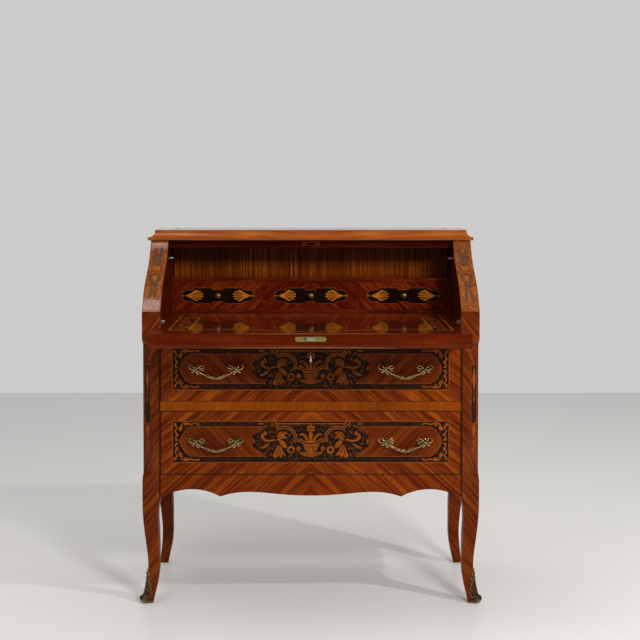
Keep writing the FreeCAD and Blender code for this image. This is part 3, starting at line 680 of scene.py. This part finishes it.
let_in("fall_scrolls", both(scrolls(-332, seam - 12, -332, -262, 5, 17)), 0.15, level, scroll_wood, "fall")
board_start = seam + 3
board_back = closed([(0, 145, 0), (-358, 145, 0), (-358, board_start, 0), (-307, board_start, 0),
                     (-307, 80, 0), (0, 80, 0)])
let_in("board_border", [board_back], 0.05, level, border_wood)
board_lines = [closed([(0, far, 0), (-out, far, 0), (-out, board_start, 0), (2.6 - out, board_start, 0),
                       (2.6 - out, near, 0), (0, near, 0)])
               for out, far, near in ((360, 147, 144), (308.3, 81.6, 79))]
let_in("board_lines", board_lines, 0.15, level, line_wood)
let_in("board_scrolls",
       both(scrolls(-332, seam + 12, -332, 90, 3, 17) + scrolls(-320, 112, -10, 112, 8, 17)), 0.15, level,
       scroll_wood)

# The front edge is veneered up to a brass plate with round ends.
edge_points = [nodes["fall_panel"].matrix_world @ vert.co for vert in nodes["fall_panel"].data.vertices]
edge_low = min(point.z for point in edge_points if point.y < fall_low.y + 0.0004)
edge_high = fall_high.z * 1000 - 0.4
fall_edge = 0.028
middle = (fall_high.z - fall_edge / 2) * 1000
plate_hole = closed([(0, middle - 6.3, 0), (32.5, middle - 6.3, 0), (37, middle - 4.4), (38.6, middle),
                     (37, middle + 4.4), (32.5, middle + 6.3, 0), (0, middle + 6.3, 0)])
edge_front = slab(-399.5, 399.5, edge_low * 1000 + 0.4, edge_high)
let_in("fall_edge_veneer", [edge_front, plate_hole], 0.15, facing(0, fall_low.y, 0), edge_wood, "fall")
# A tan strip along the top arris of the front edge is a painted highlight; the same tan wood paints the
# reflection on the bevel below.
arris = [ribbon([(-215, edge_high), (-60, edge_high), (40, edge_high), (225, edge_high)], 1.7, 0.1)]
painted_highlight_wood = stained("painted_arris_highlight", (0.15, 0.042, 0.009), (0.28, 0.095, 0.026), polish=0.1)
let_in("fall_painted_arris_highlight", arris, 0.3, facing(0, fall_low.y, 0), painted_highlight_wood, "fall")

# The middle of the bevel under the front edge is painted lighter still: a painted reflection of the floor.
bevel_foot = min((point for point in edge_points if point.y < fall_low.y + 0.02), key=lambda point: point.z)
bevel_rise = Vector((0, fall_low.y - bevel_foot.y, edge_low - bevel_foot.z))
bevel_up = bevel_rise.normalized()
bevel_spot = Matrix.Translation((0, bevel_foot.y, bevel_foot.z)) @ Matrix((
    (1, 0, 0), (0, bevel_up.y, -bevel_up.z), (0, bevel_up.z, bevel_up.y))).to_4x4()
painted_bevel_reflection = ribbon([(-224, 2), (-110, 4.6), (0, 5.4), (110, 4.6), (216, 2)], 9.0, 0.12)
let_in("fall_painted_bevel_reflection", [painted_bevel_reflection], 0.15, bevel_spot, painted_highlight_wood, "fall")
dress(clean_brass, "fall_lock")
dress(old_brass, "fall_strike_plate")
steel, _, steel_shader = tree("lock_steel")
steel_shader.inputs["Metallic"].default_value = 1.0
steel_shader.inputs["Base Color"].default_value = (0.74, 0.70, 0.62, 1)
steel_shader.inputs["Roughness"].default_value = 0.35
dress(steel, "fall_lock_bolt", "drawer_lock", "fall_pivot_pins", "fall_pivot_arms", "fall_stop_pegs")


# Drawer unit. A base, ends, dividers and a shelf of dark wood, with a striped back above them,
# hold three small drawers with inlaid fronts and turned brass knobs.
inside_wood = veneer("inside_wood", (0.026, 0.0019, 0.0005), (0.086, 0.0082, 0.0011), (0.18, 0.027, 0.0035),
                     (1, 0, 0), width=1.2)
dress(inside_wood, "unit_base", "unit_ends", "unit_dividers", "unit_shelf", "stop_rail")
dress_faces("unit_shelf", (surface_wood,), lambda normal: 1 if normal.z > 0.9 else 0)
striped_wood = veneer("striped_wood", (0.035, 0.004, 0.0006), (0.145, 0.025, 0.0018), (0.36, 0.090, 0.008),
                      (0, 0, 1), width=0.32, contrast=1.3)
dress(striped_wood, "compartment_back")
small_wood = veneer("small_front_wood", (0.035, 0.0018, 0.0005), (0.092, 0.0068, 0.0010),
                    (0.24, 0.036, 0.003), (-1, 0, 1), fold="X", contrast=1.2)
dress(small_wood, "small_drawer_front_left", "small_drawer_front_middle", "small_drawer_front_right")
dress(plain_wood, "small_drawer_box_left", "small_drawer_box_middle", "small_drawer_box_right")


def turned(profile, steps):
    """A turned piece round Z in millimetres, from pairs of a radius and a height."""
    form = bmesh.new()
    rim = [form.verts.new((radius, 0, height)) for radius, height in profile]
    line = [form.edges.new(pair) for pair in zip(rim, rim[1:])]
    bmesh.ops.spin(form, geom=rim + line, cent=(0, 0, 0), axis=(0, 0, 1), angle=2 * math.pi, steps=steps,
                   use_merge=True)
    bmesh.ops.remove_doubles(form, verts=form.verts, dist=0.001)
    bmesh.ops.recalc_face_normals(form, faces=form.faces)
    for face in form.faces:
        face.smooth = True
    return form


knob_profile = [(0, 0), (6.2, 0), (6.2, 1.2), (4.6, 2.4), (3.0, 4.0), (2.8, 7.5), (5.2, 9), (7.9, 11),
                (8.6, 13.8), (7.9, 16.6), (5.4, 18.4), (3.2, 18.7), (2.6, 19.4), (0, 19.6)]
lobes = [(105, 0), (98, 12), (86, 15.5), (72, 17), (69, 22, 0), (18, 22, 0), (16, 16.5, 0)]
lobes += [(-x, *rest) for x, *rest in lobes[::-1]]
lobes += [(x, -y, *rest) for x, y, *rest in lobes[-2:0:-1]]
rim = [(x * 1.014, y * 1.06, *rest) for x, y, *rest in lobes]
fan = [(-94, 0, 0), (-76, 8.5), (-59, 16.4), (-56.5, 12.2, 0), (-49.5, 13.2), (-49.5, 8.4, 0),
       (-43, 6), (-46.5, 2, 0), (-42.8, -1.6), (-47.5, -5, 0), (-48.6, -10), (-55, -9.6, 0),
       (-59, -14.6), (-76, -7.8)]
palmette = [fan, disc(-99.7, 0, 2.6), ribbon([(-104.6, 0), (-99, 0), (-94, 0)], 1.2, 1)]
veins = [[(-78, 3.4, 0), (-57, 13.2, 0), (-59, 9.4, 0)], [(-76, 1.8, 0), (-49, 10.6, 0), (-50, 6.6, 0)],
         [(-75, 0.2, 0), (-44, 3.6, 0), (-44, 0.6, 0)], [(-76, -1.4, 0), (-47, -3.6, 0), (-48.6, -7.2, 0)],
         [(-78, -3, 0), (-55, -8.4, 0), (-58, -11.8, 0)]]
knob_brass = brass("knob_brass", (0.10, 0.055, 0.022), (0.62, 0.44, 0.25), 0.44)
palmette_wood = stained("palmette_wood", (0.29, 0.074, 0.005), (0.60, 0.205, 0.021))
black_wood = stained("black_panel", (0.004, 0.0012, 0.0008), (0.020, 0.006, 0.002))
for name in ("left", "middle", "right"):
    low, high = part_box("small_drawer_front_" + name)
    spot = facing((low.x + high.x) / 2, low.y, (low.z + high.z) / 2)
    body = "small_drawer_" + name
    let_in(body + "_stringing", [rim], 0.05, spot, string_wood, body)
    let_in(body + "_panel", [lobes], 0.15, spot, black_wood, body)
    let_in(body + "_palmettes", both(palmette), 0.25, spot, palmette_wood, body)
    let_in(body + "_veins", both(veins), 0.4, spot, black_wood, body)
    knob = placed(body + "_turned_knob", turned(knob_profile, 40), spot, knob_brass, body)
    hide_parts("small_drawer_knob_" + name)


# Long drawers. Oak-coloured boxes behind veneered fronts. Each front has a chevron of
# kingwood round a dark panel, with plain reserves for the handles and a marquetry middle.
drawer_wood = veneer("drawer_front_wood", wood_dark, wood_middle, wood_light, (-1, 0, 0.8), fold="X",
                     contrast=1.35)
dress(drawer_wood, "upper_drawer_front", "lower_drawer_front")
dress(plain_wood, "upper_drawer_sides", "upper_drawer_back", "upper_drawer_bottom",
      "lower_drawer_sides", "lower_drawer_back", "lower_drawer_bottom")
reserve_wood = veneer("reserve_wood", (0.05, 0.005, 0.0005), (0.125, 0.018, 0.0008), (0.24, 0.048, 0.003),
                      (1, 0, 1), fold="X")

# The ground is stained like dense small leaves: pale cells with dark edges.
fern_wood, fern_net, fern_shader = tree("fern_ground")
fern_point = own_place(fern_net)
cell = fern_net.nodes.new("ShaderNodeTexVoronoi")
cell.inputs["Scale"].default_value = 300
cell.inputs["Randomness"].default_value = 1.0
fern_net.links.new(along_grain(fern_net, fern_point, (1, 0, 0.6), (0.65, 1, 1.25)), cell.inputs["Vector"])
tone = fern_net.nodes.new("ShaderNodeSeparateXYZ")
fern_net.links.new(cell.outputs["Color"], tone.inputs[0])
leaf_tone = ramp(fern_net, tone.outputs["X"], [(0.20, (0.014, 0.0045, 0.0016)), (0.60, (0.045, 0.015, 0.005)),
                                              (0.92, (0.15, 0.048, 0.010))])
ragged = noise(fern_net, fern_point, 700)
edge_value = calc(fern_net, "MULTIPLY_ADD", ragged, 0.25, cell.outputs["Distance"])
leaf_edge = ramp(fern_net, edge_value, [(0.40, (0, 0, 0)), (0.50, (1, 1, 1))])
fern_net.links.new(mixed(fern_net, leaf_edge, leaf_tone, (0.014, 0.0040, 0.0015)),
                   fern_shader.inputs["Base Color"])
fern_shader.inputs["Roughness"].default_value = 0.34
polished(fern_shader, 0.05)

# Outlines of the front's marquetry, from the middle of its panel.
fern_fields = [slab(-160, 160, -53, 46)] + both([
    [(-366, -53, 0), (-300, -53, 0), (-300, -36, 0), (-330, -20, 0), (-346, 0, 0), (-330, 20, 0),
     (-300, 36, 0), (-300, 52, 0), (-366, 52, 0)]])
reserve = [(-321, 39.5, 0), (-119, 39.5, 0), (-128, 32.5), (-137, 26), (-150, 20), (-158, 11),
           (-153, 3.5, 0), (-158, -4), (-149, -18), (-137, -24), (-122, -38.5, 0), (-321, -38.5, 0),
           (-335, -28, 0), (-344, -13), (-348.6, 0.5, 0), (-344, 14), (-335, 29, 0)]
reserve_rim = [(-320.6, 40.9, 0), (-115.5, 40.9, 0), (-127, 33.7), (-136, 27), (-149, 21), (-157, 12),
               (-151, 3.5, 0), (-157, -5), (-148, -19), (-136, -25.2), (-118.5, -39.9, 0),
               (-320.6, -39.9, 0), (-336.2, -28.6, 0), (-345.4, -13.4), (-350.4, 0.5, 0),
               (-345.4, 14.4), (-336.2, 29.6, 0)]
band_left = [(-102, 53, 0), (-91, 43), (-84.5, 35.5, 0), (-77, 38.2), (-68.5, 38.6), (-58, 35.8),
             (-47.5, 27.5), (-41, 16), (-40, 3.5, 0), (-32.5, 5.2), (-18, -1.5), (-7, -4.7), (0, -5.4)]
band_path = band_left + [(-p[0], *p[1:]) for p in band_left[-2::-1]]
ornament_gold = [slab(-102, 102, 47, 49.6)] + both([
    ribbon([(-125, 26), (-120, 24.5), (-120.5, 19.5), (-125.5, 20), (-130, 16), (-127, 8), (-116, 3),
            (-101, 4), (-88, 12)], 6.6, 0.45),
    [(-96, 6), (-90, 16), (-83, 25), (-72, 27), (-63, 22), (-70, 19), (-66, 13), (-64, 8, 0), (-71, 9),
     (-78, 7), (-86, 4)],
    disc(-74, -6.5, 13.5, 6.0, -46),
    disc(-52.7, -21.5, 10.2), disc(-52.7, -21.5, 5.0),
    [(-100, -40), (-96, -25), (-90, -12), (-86, -9), (-80, -13), (-75, -24), (-69, -38), (-76, -35),
     (-80, -42), (-85, -36), (-91, -42)],
    *[shape for up in (1, -1) for shape in (
        disc(-348, 35 * up, 5.4), disc(-362, 47 * up, 3.4), petal(-340, 43 * up, -328, 48.6 * up, 6),
        petal(-362, 26 * up, -354, 15 * up, 6), petal(-363, 4 * up, -353, 5 * up, 4))],
    [(-2, -3), (-6, 5), (-10, 14), (-18, 21), (-27, 22), (-31, 17), (-25, 18), (-19, 14), (-12, 5),
     (-7, -1)],
]) + [
    closed([(0, 27), (-5, 22), (-4, 10), (-2.5, 0), (0, -4)]),
    [(-22, -8, 0), (22, -8, 0), (18.5, -15), (16, -21), (11, -26), (-11, -26), (-16, -21), (-18.5, -15)],
    [(-34, -26, 0), (-26, -28), (-13, -28.5), (13, -28.5), (26, -28), (34, -26, 0), (27, -33), (15, -38),
     (0, -41), (-15, -38), (-27, -33)],
]
for turn in range(6):
    angle = math.pi * turn / 3 + 0.5
    ornament_gold.append(disc(8 * math.cos(angle), 35.6 + 7.5 * math.sin(angle), 3.3))
ornament_amber = both([
    disc(-32.5, -18.5, 6.2),
    [(-136, -17), (-127, -11), (-117, -6), (-111, -4), (-115, -12), (-123, -17)],
    disc(-132, 48.2, 8, 2.4), disc(-151, 1, 1.8, 6),
]) + [disc(0, 35.6, 3.4)]
scroll_lines = (
    [(-297, 46.4), (-308, 49.4), (-320, 46.6), (-331, 49.6), (-342, 48), (-346, 42), (-341, 38.6)],
    [(-364, 45), (-357, 37), (-362, 28), (-355.6, 19), (-361, 10), (-356, 3)])
corner_scrolls = both([ribbon([(x, y * up) for x, y in line], 3.8, 0.5)
                       for up in (1, -1) for line in scroll_lines])
ornament_brown = both([
    ribbon([(-98, -46), (-80, -43), (-62, -47), (-46, -43), (-36, -47), (-20, -44), (-8, -47)], 1.8, 0.5),
    disc(-38, -36, 3.4), disc(-58, -40, 3.0), disc(-120, -30, 5.0, 2.5, 40), disc(-140, 5, 2.5, 7),
    ribbon([(-30, 46), (-42, 41), (-55, 44), (-70, 47)], 2.0, 0.3),
    ribbon([(-14, 34), (-26, 33), (-38, 28)], 2.0, 0.3),
    ribbon([(-112, 36), (-106, 28), (-96, 25)], 2.5, 0.3),
])

line_inlay = stained("line_inlay", (0.20, 0.050, 0.005), (0.42, 0.12, 0.014))
core_wood = stained("band_core", (0.020, 0.0045, 0.0010), (0.055, 0.013, 0.002))
cut_lines = both([ribbon(*cut) for cut in (
    ([(-86.4, -13), (-90, -24), (-92, -36)], 1.3, 0.4), ([(-84.5, -13), (-82, -24), (-77, -34)], 1.3, 0.4),
    ([(-92, 8), (-84, 17), (-75, 23), (-68, 22)], 1.5, 0.3), ([(-80, 9), (-74, 13), (-69, 17)], 1.2, 0.3),
    ([(-78, -3), (-74, -7), (-70, -11)], 1.2, 0.4), ([(-118, 6), (-108, 5.5), (-98, 9)], 1.3, 0.3),
    ([(-27, -29), (-16, -33), (-4, -35)], 1.3, 0.4), ([(-6, -14), (-5.4, -19), (-4.6, -25)], 1.0, 0.4),
    ([(-13, -14), (-11.4, -19), (-9.4, -24)], 1.0, 0.4), ([(-7, 6), (-13, 14), (-20, 18.5)], 1.1, 0.3),
)]) + [ribbon([(-19.6, -11.4), (-8, -12.4), (8, -12.4), (19.6, -11.4)], 1.1, 0.5)]
leaf_wood = stained("leaf_inlay", (0.045, 0.013, 0.003), (0.16, 0.048, 0.010))
ornament_leaves = both([petal(*leaf) for leaf in (
    (-140, 30, -128, 38, 7), (-138, 20, -146, 34, 6), (-126, 44, -112, 40, 6), (-110, 47, -100, 38, 5),
    (-112, 18, -106, 30, 5.5), (-145, -8, -132, -4, 5), (-118, -22, -106, -16, 6),
    (-112, -42, -104, -30, 6), (-134, -28, -122, -36, 6), (-106, -12, -100, -22, 5),
    (-60, -34, -50, -38, 5), (-40, -6, -48, 6, 5.5), (-34, 10, -30, -2, 4.5), (-56, 2, -48, -8, 6),
    (-62, 12, -52, 22, 5.5), (-46, -48, -34, -44, 4.5), (-22, 50, -34, 44, 4.5), (-70, 49, -58, 46, 5),
    (-20, 6, -24, -4, 3.6), (-88, 24, -92, 34, 4.5), (-92, -6, -99, -12, 4.5), (-350, 26, -344, 36, 4),
    (-356, -22, -350, -30, 4), (-338, 47, -330, 41, 4), (-338, -47, -330, -41, 4), (-352, 2, -358, 8, 3.6),
    (-352, -2, -358, -8, 3.6))])
panel_rise = 0.0858
# The upper drawer's gold is the darker copy: painted shade of the fall.
for drawer, gold in (("upper_drawer", gold_in_painted_shade), ("lower_drawer", gold_wood)):
    place = facing(0, front_y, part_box(drawer + "_front")[0].z + panel_rise)
    for part, loops, lift, wood in (
            ("stringing", frame_loops(-370.3, 370.3, -57.3, 56.3, 2.4), 0.1, string_wood),
            ("ground", [slab(-368, 368, -55, 54)], 0.1, ground_wood),
            ("fern", fern_fields, 0.2, fern_wood),
            ("reserve_line", both([reserve_rim]), 0.3, string_wood),
            ("reserves", both([reserve]), 0.4, reserve_wood),
            ("gold", ornament_gold, 0.45, gold),
            ("scrolls", corner_scrolls, 0.5, gold_wood),
            ("amber", ornament_amber, 0.45, amber_wood),
            ("brown", ornament_brown, 0.45, brown_wood),
            ("band", [ribbon(band_path, 8.2, 0.95)], 0.5, line_inlay),
            ("band_core", [ribbon(band_path, 3.6, 0.95)], 0.65, core_wood),
            ("leaves", ornament_leaves, 0.42, leaf_wood),
            ("cut_lines", cut_lines, 0.56, core_wood)):
        let_in(drawer + "_" + part, loops, lift, place, wood, drawer)


# Marquetry on the outside of the fall, seen when the fall is closed: the urn and flowers of the
# drawers again, larger, inside a stringing frame. It is let into the curved face.
def grown(loops, factor):
    """The same outlines at another size."""
    return [[(point[0] * factor, point[1] * factor, *point[2:]) for point in loop] for loop in loops]


outside = surface_of("fall_panel")
under = Matrix(((1, 0, 0, 0), (0, -1, 0, -0.210), (0, 0, -1, fall_low.z - 0.02), (0, 0, 0, 1)))
medallion_quarter = [(0, 92), (80, 100), (120, 84), (168, 90), (190, 62), (225, 46), (212, 22), (235, 0)]
medallion = [closed(medallion_quarter + [(x, -y) for x, y in medallion_quarter[-2::-1]])]
middle_reach = 126
middle_gold = [loop for loop in ornament_gold if abs(loop[0][0]) < middle_reach and loop[0][1] < 46.9]
middle_leaves = [loop for loop in ornament_leaves if abs(loop[0][0]) < middle_reach]
laid("fall_outer_stringing", frame_loops(-360, 360, -112, 112, 2.6), 0.1, under, outside, string_wood,
     "fall")
laid("fall_outer_rim", grown(medallion, 1.02), 0.05, under, outside, string_wood, "fall")
laid("fall_outer_medallion", medallion, 0.15, under, outside, fern_wood, "fall")
laid("fall_outer_gold", grown(middle_gold, 1.55), 0.3, under, outside, gold_wood, "fall")
laid("fall_outer_leaves", grown(middle_leaves, 1.55), 0.25, under, outside, leaf_wood, "fall")


# Drawer handles. Cast gilt brass gone brown: two leafy ends on posts, joined by a drooping bail
# of leaves. Each handle is one casting held by nuts inside the drawer.
def cast(lines):
    """A casting in millimetres, melted together from round strands; each point has a radius."""
    drawing = bpy.data.curves.new("strands", "CURVE")
    drawing.dimensions = "3D"
    drawing.bevel_depth = 1.0
    drawing.bevel_resolution = 2
    drawing.resolution_u = 4
    drawing.use_fill_caps = True
    for line in lines:
        strand = drawing.splines.new("BEZIER")
        strand.bezier_points.add(len(line) - 1)
        for knot, (x, y, z, radius) in zip(strand.bezier_points, line):
            knot.co = (x, y, z)
            knot.radius = radius
            knot.handle_left_type = "AUTO"
            knot.handle_right_type = "AUTO"
    fused = in_scene("casting", finished_mesh(in_scene("strands", drawing)))
    melt = fused.modifiers.new("melt", "REMESH")
    melt.mode = "VOXEL"
    melt.voxel_size = 0.7
    form = opened(finished_mesh(fused))
    bmesh.ops.smooth_vert(form, verts=form.verts, factor=0.5, use_axis_x=True, use_axis_y=True,
                          use_axis_z=True)
    for face in form.faces:
        face.smooth = True
    return form


def handed(lines):
    """Strands and their mirror images across the middle."""
    return lines + [[(-x, y, z, radius) for x, y, z, radius in line] for line in lines]


handle_strands = handed([
    [(27, -13.5, 17, 2.4), (36, -10, 18, 2.8), (45, -4, 18, 3.4), (52, 1, 18, 3.6)],
    [(52, 1, 18, 3.6), (61, 1, 18.5, 2.7), (68, 3.5, 18, 2.1), (72, 8.5, 17.5, 1.6), (69.5, 12, 17, 1.1),
     (66.5, 10.5, 17, 0.8)],
    [(52, 1, 18.5, 3.4), (52, 8, 19.5, 2.4), (50, 13, 18.5, 1.4), (46.5, 14.5, 17.5, 0.8)],
    [(51, 3, 18, 3.0), (44, 8.5, 19.5, 2.0), (38, 11.5, 18.5, 1.3), (33, 10, 17.5, 0.8)],
    [(50, 2, 18, 2.8), (40, 4, 19, 1.9), (33, 5, 18, 1.2), (29.5, 8.5, 17, 0.8)],
    [(54, 3, 18, 2.8), (59, 8.5, 19.5, 1.9), (61, 12.5, 18.5, 1.2), (60, 15, 17.5, 0.7)],
    [(47, 0, 18, 2.6), (38, -1.5, 18.5, 1.6), (32, -1, 17.5, 0.9)],
    [(52, -1, 18, 2.8), (50, -8, 18.5, 1.8), (45, -13, 17.5, 0.9)],
    [(56, 0, 18, 2.8), (60, -5, 18.5, 1.8), (66, -6.5, 17.5, 0.9)],
    [(53, 1.5, 20, 2.2), (53, 1.5, 22, 1.6)],
    [(52, 0, 0.4, 4.4), (52, 0, 6, 3.6), (52, 0, 18, 3.4)], [(52, 0, 0.3, 7.4), (52, 0, 1.8, 6.4)],
    [(4, -20.6, 20, 2.0), (10, -17.4, 20.5, 1.4), (14.5, -14.6, 19, 0.7)],
    [(4, -22.6, 19.5, 1.8), (12, -22.4, 19.5, 1.3), (17, -21.4, 18.5, 0.6)],
    [(14, -18.6, 19.5, 1.8), (20, -14.6, 20, 1.2), (24, -11.4, 18.5, 0.6)],
    [(14, -19.8, 19, 1.6), (22, -18.8, 19, 1.1), (27, -17.2, 18, 0.6)],
]) + [
    [(-29, -13, 17, 2.4), (-22, -16.4, 17.5, 1.9), (-10, -20.1, 18, 2.2), (0, -21.4, 18.5, 2.6),
     (10, -20.1, 18, 2.2), (22, -16.4, 17.5, 1.9), (29, -13, 17, 2.4)],
    [(0, -21.4, 19, 4.2), (0, -21.4, 21, 3.2)],
]
fullness = 1.28
handle_cast = cast([[(x, y, z, radius * fullness) for x, y, z, radius in line] for line in handle_strands])
handle_offset = 0.2515
for drawer in ("upper_drawer", "lower_drawer"):
    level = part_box(drawer + "_front")[0].z + panel_rise
    for hand, side in ((-1, "left"), (1, "right")):
        handle = placed(drawer + "_" + side + "_handle", handle_cast.copy(),
                        facing(hand * handle_offset, front_y, level), old_brass, drawer)
    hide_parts(drawer + "_handles")


# Key. A steel key with an oval bow on a plain shank. It stands in the lock of the upper drawer,
# its bow on edge.
dress(steel, "drawer_key")


# Shoes of the front feet. Cast brass, like the handles; an acanthus leaf climbs the outer corner
# of each foot, and the toe curls into a scroll.
def foot_point(out, across, height, radius, hand):
    """A point of a strand, measured inwards from the post's outer corner along its diagonal."""
    step = math.sqrt(0.5)
    return (hand * (450 - out * step - across * step), front_y * 1000 + out * step - across * step,
            height, radius)


shoe_brass = brass("shoe_brass", (0.060, 0.030, 0.012), (0.46, 0.31, 0.16), 0.36)
shoe_lines = [
    [(3.4, 0, 14, 4.6), (8.4, 0, 32, 3.8), (12.6, 0, 50, 3.2), (16, 0, 68, 2.8), (17.6, 0, 80, 2.4),
     (16.6, 0, 89, 1.6), (14.2, 0, 92.5, 0.9)],
]
for along, tip in ((4, 82), (8, 68), (12, 54), (16, 42), (19.4, 30)):
    for across in (-1, 1):
        vein = []
        for level in (14, 14 + (tip - 14) * 0.35, 14 + (tip - 14) * 0.7):
            spread = along * 0.7 * level / (level + 8)
            vein.append((3.4 + level * 0.17 + spread, across * spread, level, 2.6))
        out, side = vein[-1][:2]
        vein.append((out + 1.6, side + across * 1.8, tip - 3, 2.2))
        vein.append((out + 0.4, side + across * 3.6, tip, 0.9))
        shoe_lines.append(vein)
for across in (-1, 1):
    curl = []
    for step in range(13):
        turn = 0.6 * step
        reach = 10.6 * (1 - turn / 9)
        curl.append((4 + reach * math.cos(turn), across * 8.4, 11.6 + reach * math.sin(turn), 1.5))
    shoe_lines.append(curl)
    shoe_lines.append([(4, across * 7.5, 11.6, 2.6), (4, across * 9.6, 11.6, 1.9)])
    shoe_lines.append([(9, across * 3, 5.4, 5.0), (15, across * 9, 5.2, 4.8), (22, across * 15, 4.4, 3.6)])
shoe_lines.append([(4, -5, 11.4, 9.8), (4, 5, 11.4, 9.8)])
for hand, side in ((1, "right"), (-1, "left")):
    leaf = cast([[foot_point(*point, hand) for point in line] for line in shoe_lines])
    shoe = placed(side + "_shoe_leaf", leaf, Matrix.Identity(4), shoe_brass, "carcass")
    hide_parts(side + "_sabot")
